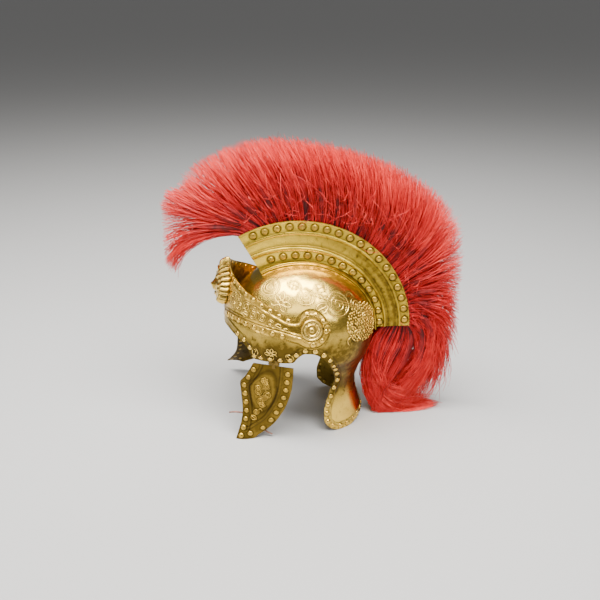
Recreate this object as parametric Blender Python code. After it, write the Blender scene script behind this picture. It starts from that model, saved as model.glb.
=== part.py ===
"""A Roman helmet in embossed sheet brass, with a red hair crest.

It faces -X and stands on Z = 0, on two lobes of its neck guard, the tip of its left cheek guard
and the tail of its crest. Every length is in metres. The helmet is modelled about its own middle
plane, and one empty then sets the middle of its base on the origin.
"""

import math
from collections import namedtuple

import bpy
import numpy as np
from mathutils import Matrix, Vector

# The brass sheet, and the gap left between pieces that seat on each other
SHEET = 0.0012
GAP = 0.0003

# The bowl: an ellipsoid above its widest line, which lies BOWL_BASE above the ground
BOWL_LENGTH = 0.240
BOWL_WIDTH = 0.196
BOWL_BASE = 0.155
BOWL_RISE = 0.108

# The brow plate: a raised peak that stands off the bowl in front and hugs it at the ears
PLATE_GAP = 0.0008
PLATE_LEAN = 0.096
PLATE_UPRIGHT_DEG = 40
PLATE_HUG_DEG = 85
LOBE_DEG = 95.6
LOBE_HEIGHT = 0.187
LOBE_RADIUS = 0.029

# The mask on the brow, and the boss over each ear
MASK_HEIGHT = 0.072
MASK_WIDTH = 0.050
MASK_DEPTH = 0.016
MASK_CENTRE = 0.231
MASK_WALL = 0.0016
BOSS_RADIUS = 0.016
BOSS_DEPTH = 0.0045

# The crest holder: a channel of sheet whose outer edge is one arc
CREST_RADIUS = 0.178
CREST_CENTRE_X = -0.0055
CREST_CENTRE_Z = 0.151
CREST_FRONT_DEG = 119.6
CREST_REAR_DEG = 0.6
CREST_WIDTH = 0.028
CREST_SEAT = 0.0006
FLANGE = 0.005
RIDGE = 0.0012

# The hair
HAIR_LENGTH = 0.130
LOCK_WIDTH = 0.028
LOCK_SPREAD = 0.050
HAIR_ROOT = 0.010

# The cheek guards, hung on hinges below the cheek lobes
HINGE_ALONG = -0.0445
HINGE_HEIGHT = 0.128
HINGE_LENGTH = 0.016
HINGE_TURN_DEG = 20
PIN_RADIUS = 0.00125
STRAP_SHEET = 0.0008
STRAP_TAIL = 0.0072
EDGE_TO_PIN = 0.0028
GUARD_WIDTH = 0.080
GUARD_TWIST = 0.36
GUARD_DISH = 0.003
RIGHT_GUARD_SWING_DEG = 26

# The leather tie behind the left cheek guard
TIE_DIAMETER = 0.0026
TIE_HOLE_DROP = 0.81
TIE_HOLE_ACROSS = 0.42
KNOT_RADIUS = 0.0034

CROWN = BOWL_BASE + BOWL_RISE

# How many facets each surface gets
FRONT_COLUMNS = 20
NECK_COLUMNS = 9
BOWL_ROWS = 9
NECK_ROWS = 8
PLATE_COLUMNS = 27
PLATE_ROWS = 4
CREST_STATIONS = 21
MASK_RINGS = 6
MASK_SECTORS = 26
ROUND_SIDES = 18
LOCK_SIDES = 7
LOCK_RINGS = 7

# Level sections below the widest line. The height is a share of BOWL_BASE, the centre and the rear
# reach are shares of BOWL_LENGTH, and the half width is a share of BOWL_WIDTH.
Section = namedtuple("Section", "height centre rear half_width")
SECTIONS = [
    Section(0.000, 0.083, 0.425, 0.396),
    Section(0.077, 0.083, 0.420, 0.390),
    Section(0.204, 0.083, 0.398, 0.376),
    Section(0.345, 0.083, 0.376, 0.361),
    Section(0.429, 0.083, 0.372, 0.352),
    Section(0.570, 0.083, 0.400, 0.360),
    Section(0.701, 0.083, 0.438, 0.403),
    Section(0.804, 0.054, 0.462, 0.470),
    Section(0.906, 0.023, 0.480, 0.494),
    Section(1.000, 0.000, 0.500, 0.500),
]

# The rim, seen from the side: along is a share of BOWL_LENGTH behind the bowl's centre, and height
# is a share of BOWL_BASE.
RimPoint = namedtuple("RimPoint", "along height")
FACE_RIM = [
    RimPoint(-0.500, 1.090),
    RimPoint(-0.477, 1.087),
    RimPoint(-0.420, 1.048),
    RimPoint(-0.365, 0.992),
    RimPoint(-0.333, 0.918),
    RimPoint(-0.315, 0.856),
    RimPoint(-0.256, 0.847),
    RimPoint(-0.145, 0.849),
    RimPoint(-0.068, 0.862),
    RimPoint(-0.035, 0.925),
    RimPoint(0.008, 0.965),
    RimPoint(0.052, 0.960),
    RimPoint(0.091, 0.934),
    RimPoint(0.135, 0.875),
    RimPoint(0.165, 0.806),
]
NECK_EDGE = [
    FACE_RIM[-1],
    RimPoint(0.200, 0.640),
    RimPoint(0.209, 0.565),
    RimPoint(0.179, 0.443),
    RimPoint(0.154, 0.328),
    RimPoint(0.139, 0.212),
    RimPoint(0.143, 0.115),
    RimPoint(0.185, 0.031),
]
NECK_RIM = [
    NECK_EDGE[-1],
    RimPoint(0.240, 0.000),
    RimPoint(0.310, 0.000),
    RimPoint(0.368, 0.028),
    RimPoint(0.421, 0.062),
]

# The brow plate's edges, by the angle round the bowl from the front, as shares of CROWN
PlateEdge = namedtuple("PlateEdge", "angle top bottom")
PLATE_EDGES = [
    PlateEdge(0, 1.019, 0.677),
    PlateEdge(12, 0.986, 0.681),
    PlateEdge(23, 0.954, 0.696),
    PlateEdge(34, 0.923, 0.697),
    PlateEdge(46, 0.886, 0.690),
    PlateEdge(58, 0.842, 0.677),
    PlateEdge(70, 0.804, 0.662),
    PlateEdge(82, 0.772, 0.639),
    PlateEdge(96, 0.772, 0.610),
]

# The holder's side wall, from its foot to its lip: how high, as a share of the wall, and how far out
# it stands, as a share of RIDGE
WallPoint = namedtuple("WallPoint", "height out")
WALL = [
    WallPoint(0.05, 1.0),
    WallPoint(0.10, 0.0),
    WallPoint(0.37, 0.0),
    WallPoint(0.42, 1.3),
    WallPoint(0.47, 0.0),
    WallPoint(0.70, 0.0),
    WallPoint(0.74, 1.0),
    WallPoint(0.78, 0.0),
    WallPoint(1.00, 0.0),
]

# The locks that stand out of the holder, front to rear: where each is rooted on the arc, its length
# as a share of HAIR_LENGTH, and its heading at the root, at a third, at two thirds and at the tip.
# Headings and roots are in degrees from straight back, turning upwards.
Lock = namedtuple("Lock", "root length root_way low_way high_way tip_way width")
LOCKS = [
    Lock(115.5, 0.90, 162, 183, 212, 246, 0.80),
    Lock(115.0, 0.88, 160, 170, 177, 186, 0.95),
    Lock(114.0, 0.95, 148, 153, 157, 156, 0.95),
    Lock(109.5, 0.96, 146, 137, 126, 112, 1.00),
    Lock(105.0, 0.92, 130, 122, 115, 108, 1.00),
    Lock(99.0, 0.97, 108, 110, 112, 114, 1.00),
    Lock(92.0, 0.95, 97, 101, 106, 110, 1.00),
    Lock(85.0, 0.90, 90, 95, 101, 106, 1.00),
    Lock(78.0, 0.88, 84, 89, 97, 103, 1.00),
    Lock(71.0, 0.87, 78, 86, 95, 102, 1.00),
    Lock(64.0, 0.88, 70, 80, 91, 99, 1.00),
    Lock(57.0, 0.90, 63, 76, 89, 98, 1.00),
    Lock(50.0, 0.92, 56, 71, 85, 95, 1.00),
    Lock(44.0, 0.95, 49, 65, 80, 91, 1.00),
    Lock(38.5, 0.98, 44, 59, 73, 84, 1.00),
    Lock(33.5, 0.99, 42, 54, 65, 73, 1.00),
    Lock(29.0, 0.98, 42, 50, 56, 60, 1.00),
    Lock(21.5, 0.88, 43, 43, 39, 32, 0.95),
    Lock(18.0, 0.79, 43, 37, 28, 17, 0.90),
    Lock(14.5, 0.69, 40, 27, 11, -8, 0.90),
    Lock(11.0, 0.66, 32, 13, -10, -34, 0.90),
    Lock(8.0, 0.68, 20, -6, -36, -62, 0.90),
    Lock(6.0, 1.06, 12, -46, -80, -96, 0.80),
    Lock(4.0, 1.50, 4, -68, -92, -156, 0.75),
    Lock(2.6, 1.30, -10, -92, -128, -100, 0.90),
]

# The tail that hangs out of the holder's open rear end. The root is how far it is from the outer
# edge to the bowl, as a share of the mouth.
TAIL = [
    Lock(0.16, 1.40, 246, 264, 310, 346, 0.95),
    Lock(0.34, 1.60, 232, 268, 323, 360, 1.00),
    Lock(0.52, 1.69, 226, 272, 326, 362, 0.95),
    Lock(0.72, 1.34, 250, 268, 302, 346, 0.90),
]

# A lock's girth from root to tip: how far along it lies, its width as a share of LOCK_WIDTH, and
# its spread across the helmet as a share of LOCK_SPREAD
Girth = namedtuple("Girth", "along width spread")
LOCK_GIRTHS = [
    Girth(0.00, 0.50, 0.46),
    Girth(0.10, 0.62, 0.46),
    Girth(0.35, 0.96, 0.76),
    Girth(0.65, 1.00, 1.00),
    Girth(0.88, 0.72, 0.86),
    Girth(1.00, 0.20, 0.34),
]

# The cheek guard's outline, down from its top edge: the drop is a share of the guard's height, and
# front and rear are shares of GUARD_WIDTH from the middle of the hinge
GuardRow = namedtuple("GuardRow", "drop front rear")
GUARD_ROWS = [
    GuardRow(0.000, -0.413, 0.383),
    GuardRow(0.100, -0.494, 0.378),
    GuardRow(0.180, -0.568, 0.366),
    GuardRow(0.280, -0.678, 0.348),
    GuardRow(0.380, -0.663, 0.311),
    GuardRow(0.545, -0.630, 0.220),
    GuardRow(0.660, -0.616, 0.128),
    GuardRow(0.780, -0.633, 0.006),
    GuardRow(0.890, -0.670, -0.163),
    GuardRow(0.950, -0.689, -0.294),
    GuardRow(1.000, -0.708, -0.375),
]

# The lumps of the mask's relief: where each lies across and up, its radius both ways, all as shares
# of the mask's half width and half height, and its height as a share of MASK_DEPTH
Lump = namedtuple("Lump", "across up wide tall height")
MASK_LUMPS = [
    Lump(0.00, -0.16, 0.30, 0.22, 0.62),
    Lump(0.00, 0.02, 0.15, 0.30, 0.34),
    Lump(0.33, 0.30, 0.24, 0.12, 0.26),
    Lump(0.48, -0.06, 0.22, 0.20, 0.18),
    Lump(0.00, -0.58, 0.24, 0.20, 0.30),
    Lump(0.00, 0.56, 0.22, 0.24, 0.16),
]
MANE_LUMPS = 14
MANE_HEIGHT = 0.20


def pchip(x, xs, ys):
    """A smooth curve through the points that never overshoots them."""
    xs, ys = np.asarray(xs, float), np.asarray(ys, float)
    steps, rises = np.diff(xs), np.diff(ys) / np.diff(xs)
    slopes = np.zeros(len(xs))
    same_way = rises[:-1] * rises[1:] > 0
    mean = 2 * rises[:-1] * rises[1:] / np.where(same_way, rises[:-1] + rises[1:], 1)
    slopes[1:-1] = np.where(same_way, mean, 0)
    slopes[0], slopes[-1] = rises[0], rises[-1]
    i = np.clip(np.searchsorted(xs, x, side="right") - 1, 0, len(steps) - 1)
    t = np.clip((x - xs[i]) / steps[i], 0, 1)
    return (
        (1 + 2 * t) * (1 - t) ** 2 * ys[i]
        + t * (1 - t) ** 2 * steps[i] * slopes[i]
        + t * t * (3 - 2 * t) * ys[i + 1]
        + t * t * (t - 1) * steps[i] * slopes[i + 1]
    )


def smoothstep(x, low, high):
    t = min(1, max(0, (x - low) / (high - low)))
    return t * t * (3 - 2 * t)


def column(table, name):
    return [getattr(row, name) for row in table]


def along_outline(points, shares):
    """Points at these shares of the way along a smooth line through the outline's points."""
    ways = np.array([[p.along * BOWL_LENGTH, p.height * BOWL_BASE] for p in points])
    steps = np.hypot(*np.diff(ways, axis=0).T)
    marks = np.concatenate([[0], np.cumsum(steps)]) / steps.sum()
    return [(pchip(s, marks, ways[:, 0]), pchip(s, marks, ways[:, 1])) for s in shares]


def section_at(height):
    """(centre, rear reach, half width) of the level section at this height, up to the widest line."""
    share = min(1, height / BOWL_BASE)
    heights = column(SECTIONS, "height")
    return (
        pchip(share, heights, column(SECTIONS, "centre")) * BOWL_LENGTH,
        pchip(share, heights, column(SECTIONS, "rear")) * BOWL_LENGTH,
        pchip(share, heights, column(SECTIONS, "half_width")) * BOWL_WIDTH,
    )


def dome_share(height):
    """How wide the bowl is at this height, as a share of its widest line."""
    rise = min(1, max(0, (height - BOWL_BASE) / BOWL_RISE))
    return math.sqrt(1 - rise * rise)


def angle_of(along, height):
    """The angle round the bowl, from the front, of the point that lies this far along."""
    centre, rear, _ = section_at(height)
    reach = BOWL_LENGTH / 2 + centre if along < centre else rear - centre
    return math.acos(max(-1, min(1, (centre - along) / (reach * dome_share(height)))))


def bowl_point(angle, height):
    """A point on the bowl's outer face or on the neck guard's."""
    centre, rear, half_width = section_at(height)
    reach = BOWL_LENGTH / 2 + centre if angle < math.pi / 2 else rear - centre
    share = dome_share(height)
    return Vector(
        (
            centre - reach * share * math.cos(angle),
            half_width * share * math.sin(angle),
            height,
        )
    )


def vertex_normals(points, faces):
    normals = np.zeros_like(points)
    for face in faces:
        corners = points[face]
        normal = np.cross(corners[1] - corners[0], corners[2] - corners[0])
        if len(face) == 4:
            normal += np.cross(corners[2] - corners[0], corners[3] - corners[0])
        normals[face] += normal
    return normals / np.linalg.norm(normals, axis=1, keepdims=True)


def open_edges(faces):
    """The edges that only one face has, each running the way its face does."""
    edges = [(f[i], f[(i + 1) % len(f)]) for f in faces for i in range(len(f))]
    known = set(edges)
    return [(a, b) for a, b in edges if (b, a) not in known]


def thickened(points, faces, thickness, level_edge=False):
    """A closed wall: these outer faces, the same faces moved inwards, and a strip round the edge."""
    points = np.array([tuple(p) for p in points], float)
    faces = [list(f) for f in faces]
    normals = vertex_normals(points, faces)
    edges = open_edges(faces)
    if level_edge:
        rim = sorted({v for edge in edges for v in edge})
        normals[rim, 2] = 0
        normals[rim] /= np.linalg.norm(normals[rim], axis=1, keepdims=True)
    inner = points - normals * thickness
    return closed_between(points, inner, faces, edges)


def closed_between(outer, inner, faces, edges):
    count = len(outer)
    walls = [[b, a, a + count, b + count] for a, b in edges]
    backs = [[v + count for v in reversed(f)] for f in faces]
    return np.vstack([outer, inner]).tolist(), faces + backs + walls


def grid_faces(columns, rows, turned=False, first=0):
    faces = []
    for i in range(columns - 1):
        for j in range(rows - 1):
            a = first + i * rows + j
            quad = [a, a + rows, a + rows + 1, a + 1]
            faces.append(quad[::-1] if turned else quad)
    return faces


def swept(rings, capped=True):
    """A tube through rings of points that turn anticlockwise as seen from the end of the sweep."""
    sides = len(rings[0])
    points = [tuple(p) for ring in rings for p in ring]
    faces = []
    for i in range(len(rings) - 1):
        for j in range(sides):
            a, b = i * sides + j, i * sides + (j + 1) % sides
            faces.append([a, b, b + sides, a + sides])
    if capped:
        last = (len(rings) - 1) * sides
        faces.append(list(range(sides))[::-1])
        faces.append(list(range(last, last + sides)))
    return points, faces


def material(name, colour, roughness, metallic):
    made = bpy.data.materials.new(name)
    made.use_nodes = True
    shader = made.node_tree.nodes["Principled BSDF"]
    shader.inputs["Base Color"].default_value = (*colour, 1)
    shader.inputs["Roughness"].default_value = roughness
    shader.inputs["Metallic"].default_value = metallic
    return made


def piece(name, points, faces, finish, parent=None, matrix=None):
    """A named object with this mesh. A parent is an empty, and matrix places the mesh under it."""
    mesh = bpy.data.meshes.new(name)
    mesh.from_pydata([tuple(p) for p in points], [], faces)
    mesh.validate()
    mesh.shade_smooth()
    mesh.set_sharp_from_angle(angle=math.radians(35))
    mesh.materials.append(finish)
    made = bpy.data.objects.new(name, mesh)
    bpy.context.scene.collection.objects.link(made)
    made.parent = parent
    if matrix is not None:
        made.matrix_local = matrix
    return made


def empty(name, matrix, parent=None):
    made = bpy.data.objects.new(name, None)
    bpy.context.scene.collection.objects.link(made)
    made.parent = parent
    made.matrix_local = matrix
    return made


def bowl_columns():
    """Half the bowl's outer face: columns of points from the rim to just below the crown."""

    def climb(angle, low):
        """Points up one column, evenly spaced along the bowl's profile."""
        if low < BOWL_BASE:
            start = low - BOWL_BASE
        else:
            start = BOWL_RISE * math.asin((low - BOWL_BASE) / BOWL_RISE)
        top = BOWL_RISE * math.pi / 2
        heights = []
        for row in range(BOWL_ROWS):
            way = start + (top - start) * row / BOWL_ROWS
            rise = way if way < 0 else BOWL_RISE * math.sin(way / BOWL_RISE)
            heights.append(BOWL_BASE + rise)
        return [bowl_point(angle, height) for height in heights]

    shares = [i / FRONT_COLUMNS for i in range(FRONT_COLUMNS)]
    columns = []
    for along, height in along_outline(FACE_RIM, shares):
        columns.append(climb(angle_of(along, height), height))

    rim_shares = [i / (NECK_COLUMNS - 1) for i in range(NECK_COLUMNS)]
    row_shares = [j / NECK_ROWS for j in range(NECK_ROWS + 1)]
    edge = [(angle_of(*p), p[1]) for p in along_outline(NECK_EDGE, row_shares)][::-1]
    rim = [(angle_of(*p), p[1]) for p in along_outline(NECK_RIM, rim_shares)]
    edge, rim = np.array(edge), np.array(rim)
    waist_angle, waist = edge[-1]
    for k, rim_point in zip(rim_shares, rim):
        top = np.array((waist_angle + (math.pi - waist_angle) * k, waist))
        low = []
        for row, v in enumerate(row_shares[:-1]):
            rear = np.array((math.pi, rim[-1][1] + (waist - rim[-1][1]) * v))
            corners = (1 - k) * ((1 - v) * rim[0] + v * edge[-1])
            corners = corners + k * ((1 - v) * rim[-1] + v * np.array((math.pi, waist)))
            at = (1 - v) * rim_point + v * top + (1 - k) * edge[row] + k * rear - corners
            low.append(bowl_point(*at))
        columns.append(low + climb(top[0], waist))
    return columns


def build_bowl(finish, parent):
    """The bowl and its neck guard, raised from one sheet."""
    half = bowl_columns()
    other = [[Vector((p.x, -p.y, p.z)) for p in c] for c in half[-2:0:-1]]
    ring = half + other
    starts, points = [], []
    for col in ring:
        starts.append(len(points))
        points += col
    crown = len(points)
    points.append(Vector((0, 0, CROWN)))
    faces = []
    for i, col in enumerate(ring):
        n = (i + 1) % len(ring)
        height = min(len(col), len(ring[n]))
        a, b = starts[i] + len(col) - height, starts[n] + len(ring[n]) - height
        for j in range(height - 1):
            faces.append([a + j, a + j + 1, b + j + 1, b + j])
        faces.append([a + height - 1, crown, b + height - 1])
    points, faces = thickened(points, faces, SHEET, level_edge=True)
    return piece("skull_bowl", points, faces, finish, parent)


def plate_point(angle, height, out=0.0):
    """A point on the inner face of the brow plate, or this far outside it."""
    upright_base = dome_share(PLATE_EDGES[0].bottom * CROWN)
    low, high = PLATE_EDGES[0].bottom * CROWN, PLATE_EDGES[0].top * CROWN
    upright = upright_base * (1 - PLATE_LEAN * (height - low) / (high - low))
    hug = smoothstep(abs(math.degrees(angle)), PLATE_UPRIGHT_DEG, PLATE_HUG_DEG)
    share = upright * (1 - hug) + dome_share(height) * hug
    stand = PLATE_GAP + out
    return Vector(
        (
            -(BOWL_LENGTH / 2 * share + stand) * math.cos(angle),
            (BOWL_WIDTH / 2 * share + stand) * math.sin(angle),
            height,
        )
    )


def plate_edge(angle):
    """(bottom, top) heights of the brow plate at this angle, round lobe included."""
    degrees = abs(math.degrees(angle))
    angles = column(PLATE_EDGES, "angle")
    top = pchip(degrees, angles, column(PLATE_EDGES, "top")) * CROWN
    bottom = pchip(degrees, angles, column(PLATE_EDGES, "bottom")) * CROWN
    away = math.radians(degrees - LOBE_DEG) * BOWL_LENGTH / 2
    if abs(away) < LOBE_RADIUS:
        reach = math.sqrt(LOBE_RADIUS**2 - away**2)
        if degrees > LOBE_DEG:
            return LOBE_HEIGHT - reach, LOBE_HEIGHT + reach
        top = max(top, LOBE_HEIGHT + reach)
        bottom = min(bottom, LOBE_HEIGHT - reach)
    return bottom, top


def build_plate(finish, parent):
    lobe_reach = 0.985 * LOBE_RADIUS / (BOWL_LENGTH / 2)
    last = math.radians(LOBE_DEG) + lobe_reach
    points = []
    for i in range(2 * PLATE_COLUMNS - 1):
        share = i / (PLATE_COLUMNS - 1) - 1
        angle = last * share * (1 + 0.12 * (1 - abs(share)))
        bottom, top = plate_edge(angle)
        for j in range(PLATE_ROWS):
            height = bottom + (top - bottom) * j / (PLATE_ROWS - 1)
            points.append(plate_point(angle, height, SHEET))
    faces = grid_faces(2 * PLATE_COLUMNS - 1, PLATE_ROWS, turned=True)
    points, faces = thickened(points, faces, SHEET)
    return piece("brow_plate", points, faces, finish, parent)


def lump_sum(across, up, lumps):
    """How far the mask's relief stands out here, as a share of MASK_DEPTH."""
    out = 0
    for lump in lumps:
        for side in {1, -1 if lump.across else 1}:
            a = (across - side * lump.across) / lump.wide
            b = (up - lump.up) / lump.tall
            out += lump.height * math.exp(-(a * a + b * b))
    return out


def mask_relief(across, up):
    radius = math.hypot(across, up)
    angle = math.atan2(across, up)
    mane = 0.5 + 0.5 * math.cos(MANE_LUMPS * angle)
    ring = math.exp(-(((radius - 0.82) / 0.13) ** 2))
    crowned = 0.30 * math.sqrt(max(0, 1 - radius**2))
    return crowned + 0.12 + MANE_HEIGHT * mane * ring + lump_sum(across, up, MASK_LUMPS)


def build_mask(finish, parent):
    """The lion's mask on the brow: a raised shell, open at its back, that lies on the plate."""

    def on_plate(across, up, out):
        side, height = across * MASK_WIDTH / 2, MASK_CENTRE + up * MASK_HEIGHT / 2
        angle = math.asin(side / (BOWL_WIDTH / 2))
        return plate_point(angle, height, SHEET + GAP + out)

    front, back = [], []
    for ring in range(MASK_RINGS + 1):
        radius = ring / MASK_RINGS
        for sector in range(MASK_SECTORS if ring else 1):
            turn = math.tau * sector / MASK_SECTORS
            across, up = radius * math.sin(turn), radius * math.cos(turn)
            out = mask_relief(across, up) * MASK_DEPTH
            front.append(on_plate(across, up, out))
            hollow = 0 if ring == MASK_RINGS else max(0, out - MASK_WALL)
            back.append(on_plate(across, up, hollow + GAP))
    faces = []
    for sector in range(MASK_SECTORS):
        following = (sector + 1) % MASK_SECTORS
        faces.append([0, 1 + sector, 1 + following])
        for ring in range(MASK_RINGS - 1):
            a = 1 + ring * MASK_SECTORS
            b = a + MASK_SECTORS
            faces.append([a + sector, b + sector, b + following, a + following])
    points, faces = closed_between(np.array(front), np.array(back), faces, open_edges(faces))
    return piece("lion_mask", points, faces, finish, parent)


def build_boss(name, side, finish, parent):
    """The round boss over an ear: a disc with a rolled rim, a ring and a central stud."""
    profile = [
        (1.00, 0.00), (1.00, 0.30), (0.90, 0.62), (0.78, 0.34), (0.62, 0.34), (0.52, 0.70),
        (0.42, 0.40), (0.28, 0.42), (0.20, 0.95), (0.00, 1.00),
    ]
    angle = math.radians(LOBE_DEG)
    seat = plate_point(angle, LOBE_HEIGHT, SHEET)
    up = plate_point(angle, LOBE_HEIGHT + BOSS_RADIUS, SHEET)
    up -= plate_point(angle, LOBE_HEIGHT - BOSS_RADIUS, SHEET)
    across = plate_point(angle + 0.1, LOBE_HEIGHT, SHEET)
    across -= plate_point(angle - 0.1, LOBE_HEIGHT, SHEET)
    out = up.cross(across).normalized()
    out = out if out.y > 0 else -out
    rings = []
    for radius, height in profile[:-1]:
        turns = [math.tau * i / ROUND_SIDES for i in range(ROUND_SIDES)]
        rings.append(
            [
                Vector((radius * BOSS_RADIUS * math.cos(t), radius * BOSS_RADIUS * math.sin(t),
                        height * BOSS_DEPTH))
                for t in turns
            ]
        )
    points, faces = swept(rings, capped=False)
    faces.append(list(range(ROUND_SIDES))[::-1])
    top = len(points)
    points.append((0, 0, BOSS_DEPTH))
    last = (len(rings) - 1) * ROUND_SIDES
    for i in range(ROUND_SIDES):
        faces.append([last + i, last + (i + 1) % ROUND_SIDES, top])
    turn = out.to_track_quat("Z", "X").to_matrix().to_4x4()
    place = Matrix.Translation(seat + out * GAP) @ turn
    points = [place @ Vector(p) for p in points]
    if side < 0:
        points = [Vector((p.x, -p.y, p.z)) for p in points]
        faces = [f[::-1] for f in faces]
    return piece(name, points, faces, finish, parent)


def crest_point(turn, share, side):
    """A point of the holder at this angle on its arc: share 0 is on the bowl, 1 is on the arc."""
    way = Vector((math.cos(turn), 0, math.sin(turn)))
    centre = Vector((CREST_CENTRE_X, side, CREST_CENTRE_Z))
    a, c = BOWL_LENGTH / 2, BOWL_RISE
    wide = 1 - (side / (BOWL_WIDTH / 2)) ** 2
    start = Vector((centre.x, 0, centre.z - BOWL_BASE))
    qa = (way.x / a) ** 2 + (way.z / c) ** 2
    qb = 2 * (start.x * way.x / a**2 + start.z * way.z / c**2)
    qc = (start.x / a) ** 2 + (start.z / c) ** 2 - wide
    foot = (-qb + math.sqrt(qb * qb - 4 * qa * qc)) / (2 * qa) + CREST_SEAT
    return centre + way * (foot + (CREST_RADIUS - foot) * share)


def crest_ring(turn, half):
    """A closed outline of the holder at this angle, from (share, side, lift) for one half."""
    way = Vector((math.cos(turn), 0, math.sin(turn)))
    one = [crest_point(turn, share, side) + way * lift for share, side, lift in half]
    other = [Vector((p.x, -p.y, p.z)) for p in one[::-1] if p.y > 1e-6]
    return one + other


def crest_turns(front_back, rear_back, count):
    front = math.radians(CREST_FRONT_DEG) - front_back / CREST_RADIUS
    rear = math.radians(CREST_REAR_DEG) + rear_back / CREST_RADIUS
    return [front + (rear - front) * i / (count - 1) for i in range(count)]


def helper(name, points, faces, finish, parent):
    """A cutter, or a shape that another piece takes in. It isn't a piece of its own."""
    made = piece(name, points, faces, finish, parent)
    made.hide_render = True
    made.display_type = "WIRE"
    return made


def build_holder(finish, parent):
    """The crest holder: a flanged bar that follows the bowl, hollowed into a channel."""
    half = CREST_WIDTH / 2
    foot = half + FLANGE
    outline = [(0, 0, 0), (0, foot / 2, 0), (0, foot, 0), (0, foot, SHEET), (0, half, SHEET)]
    outline += [(p.height, half + RIDGE * p.out, 0) for p in WALL] + [(1, 0, 0)]
    turns = crest_turns(0, 0, CREST_STATIONS)
    points, faces = swept([crest_ring(turn, outline) for turn in turns])
    holder = piece("crest_holder", points, faces, finish, parent)
    inside = half - SHEET
    slot = [(0, 0, 2 * SHEET), (0, inside, 2 * SHEET), (1.1, inside, 0), (1.1, 0, 0)]
    turns = crest_turns(SHEET, -HAIR_ROOT, CREST_STATIONS)
    points, faces = swept([crest_ring(turn, slot) for turn in turns])
    cutter = helper("holder_cutter", points, faces, finish, parent)
    cut = holder.modifiers.new("channel", "BOOLEAN")
    cut.operation = "DIFFERENCE"
    cut.object = cutter
    return holder


def strand_way(lock, share):
    ways = (lock.root_way, lock.low_way, lock.high_way, lock.tip_way)
    return math.radians(np.interp(share, (0, 1 / 3, 2 / 3, 1), ways))


def lock_path(start, lead, lock, steps=24):
    """Points along a lock: in its holder, out of it, then along its headings, lying on the ground."""
    points = [start, lead]
    at = lead.copy()
    step = lock.length * HAIR_LENGTH / steps
    for i in range(steps):
        way = strand_way(lock, (i + 0.5) / steps)
        at = at + Vector((math.cos(way), 0, math.sin(way))) * step
        girth = pchip((i + 1) / steps, column(LOCK_GIRTHS, "along"), column(LOCK_GIRTHS, "width"))
        lowest = lock.width * LOCK_WIDTH / 2 * girth
        points.append(Vector((at.x, 0, max(at.z, lowest))))
    return points


def lock_shape(path, lock):
    """A lock as a tapering tube, wider across the helmet than along it."""
    marks = [0] + [1 + i * (len(path) - 2) / (LOCK_RINGS - 2) for i in range(LOCK_RINGS - 1)]
    rings = []
    for mark in marks:
        i = min(int(mark), len(path) - 1)
        before, after = path[max(i - 1, 0)], path[min(i + 1, len(path) - 1)]
        way = (after - before).normalized()
        normal = Vector((-way.z, 0, way.x))
        share = max(0, mark - 1) / (len(path) - 2)
        along = column(LOCK_GIRTHS, "along")
        width = pchip(share, along, column(LOCK_GIRTHS, "width")) * LOCK_WIDTH * lock.width
        spread = pchip(share, along, column(LOCK_GIRTHS, "spread")) * LOCK_SPREAD
        ring = []
        for side in range(LOCK_SIDES):
            turn = math.tau * (side + 0.25) / LOCK_SIDES
            across = Vector((0, math.cos(turn) * spread / 2, 0))
            point = path[i] + across + normal * (math.sin(turn) * width / 2)
            ring.append(Vector((point.x, point.y, max(point.z, 0))))
        rings.append(ring[::-1])
    return swept(rings)


def build_plume(finish, parent):
    """The hair crest: locks fused to the strip that fills the holder."""
    inside = CREST_WIDTH / 2 - SHEET - GAP
    floor = 2 * SHEET + GAP
    outline = [(0, 0, floor), (0, inside, floor), (0.93, inside, 0), (0.93, 0, 0)]
    turns = crest_turns(SHEET + GAP, GAP, CREST_STATIONS)
    points, faces = swept([crest_ring(turn, outline) for turn in turns])
    plume = piece("plume", points, faces, finish, parent)
    locks = bpy.data.collections.new("locks")
    bpy.context.scene.collection.children.link(locks)
    locks.hide_render = True
    centre = Vector((CREST_CENTRE_X, 0, CREST_CENTRE_Z))
    paths = []
    for lock in LOCKS:
        turn = math.radians(lock.root)
        way = Vector((math.cos(turn), 0, math.sin(turn)))
        start = centre + way * (CREST_RADIUS - HAIR_ROOT - LOCK_WIDTH / 4)
        lead = centre + way * (CREST_RADIUS + GAP)
        paths.append((lock, lock_path(start, lead, lock)))
    mouth = math.radians(CREST_REAR_DEG)
    for lock in TAIL:
        start = crest_point(mouth + HAIR_ROOT / CREST_RADIUS, 1 - lock.root, 0)
        lead = crest_point(mouth - 2 * SHEET / CREST_RADIUS, 1 - lock.root, 0)
        paths.append((lock, lock_path(start, lead, lock)))
    for number, (lock, path) in enumerate(paths):
        points, faces = lock_shape(path, lock)
        shape = helper(f"lock_{number:02d}", points, faces, finish, parent)
        locks.objects.link(shape)
        bpy.context.scene.collection.objects.unlink(shape)
    fuse = plume.modifiers.new("locks", "BOOLEAN")
    fuse.operation = "UNION"
    fuse.operand_type = "COLLECTION"
    fuse.collection = locks
    return plume


def hinge_frame(side):
    """The hinge's frame: X along the pin towards the rear, Y out of the helmet, Z up."""
    angle = angle_of(HINGE_ALONG, HINGE_HEIGHT + EDGE_TO_PIN)
    face = bowl_point(angle, HINGE_HEIGHT + EDGE_TO_PIN)
    turn = math.radians(HINGE_TURN_DEG)
    along = Vector((math.cos(turn), math.sin(turn), 0))
    out = Vector((-math.sin(turn), math.cos(turn), 0))
    middle = Vector((face.x, face.y, HINGE_HEIGHT)) - out * SHEET / 2
    if side < 0:
        flip = Vector((1, -1, 1))
        middle, along, out = middle * flip, along * flip, out * flip
    frame = Matrix((along, out, Vector((0, 0, 1)))).transposed().to_4x4()
    frame.translation = middle
    return frame


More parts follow.
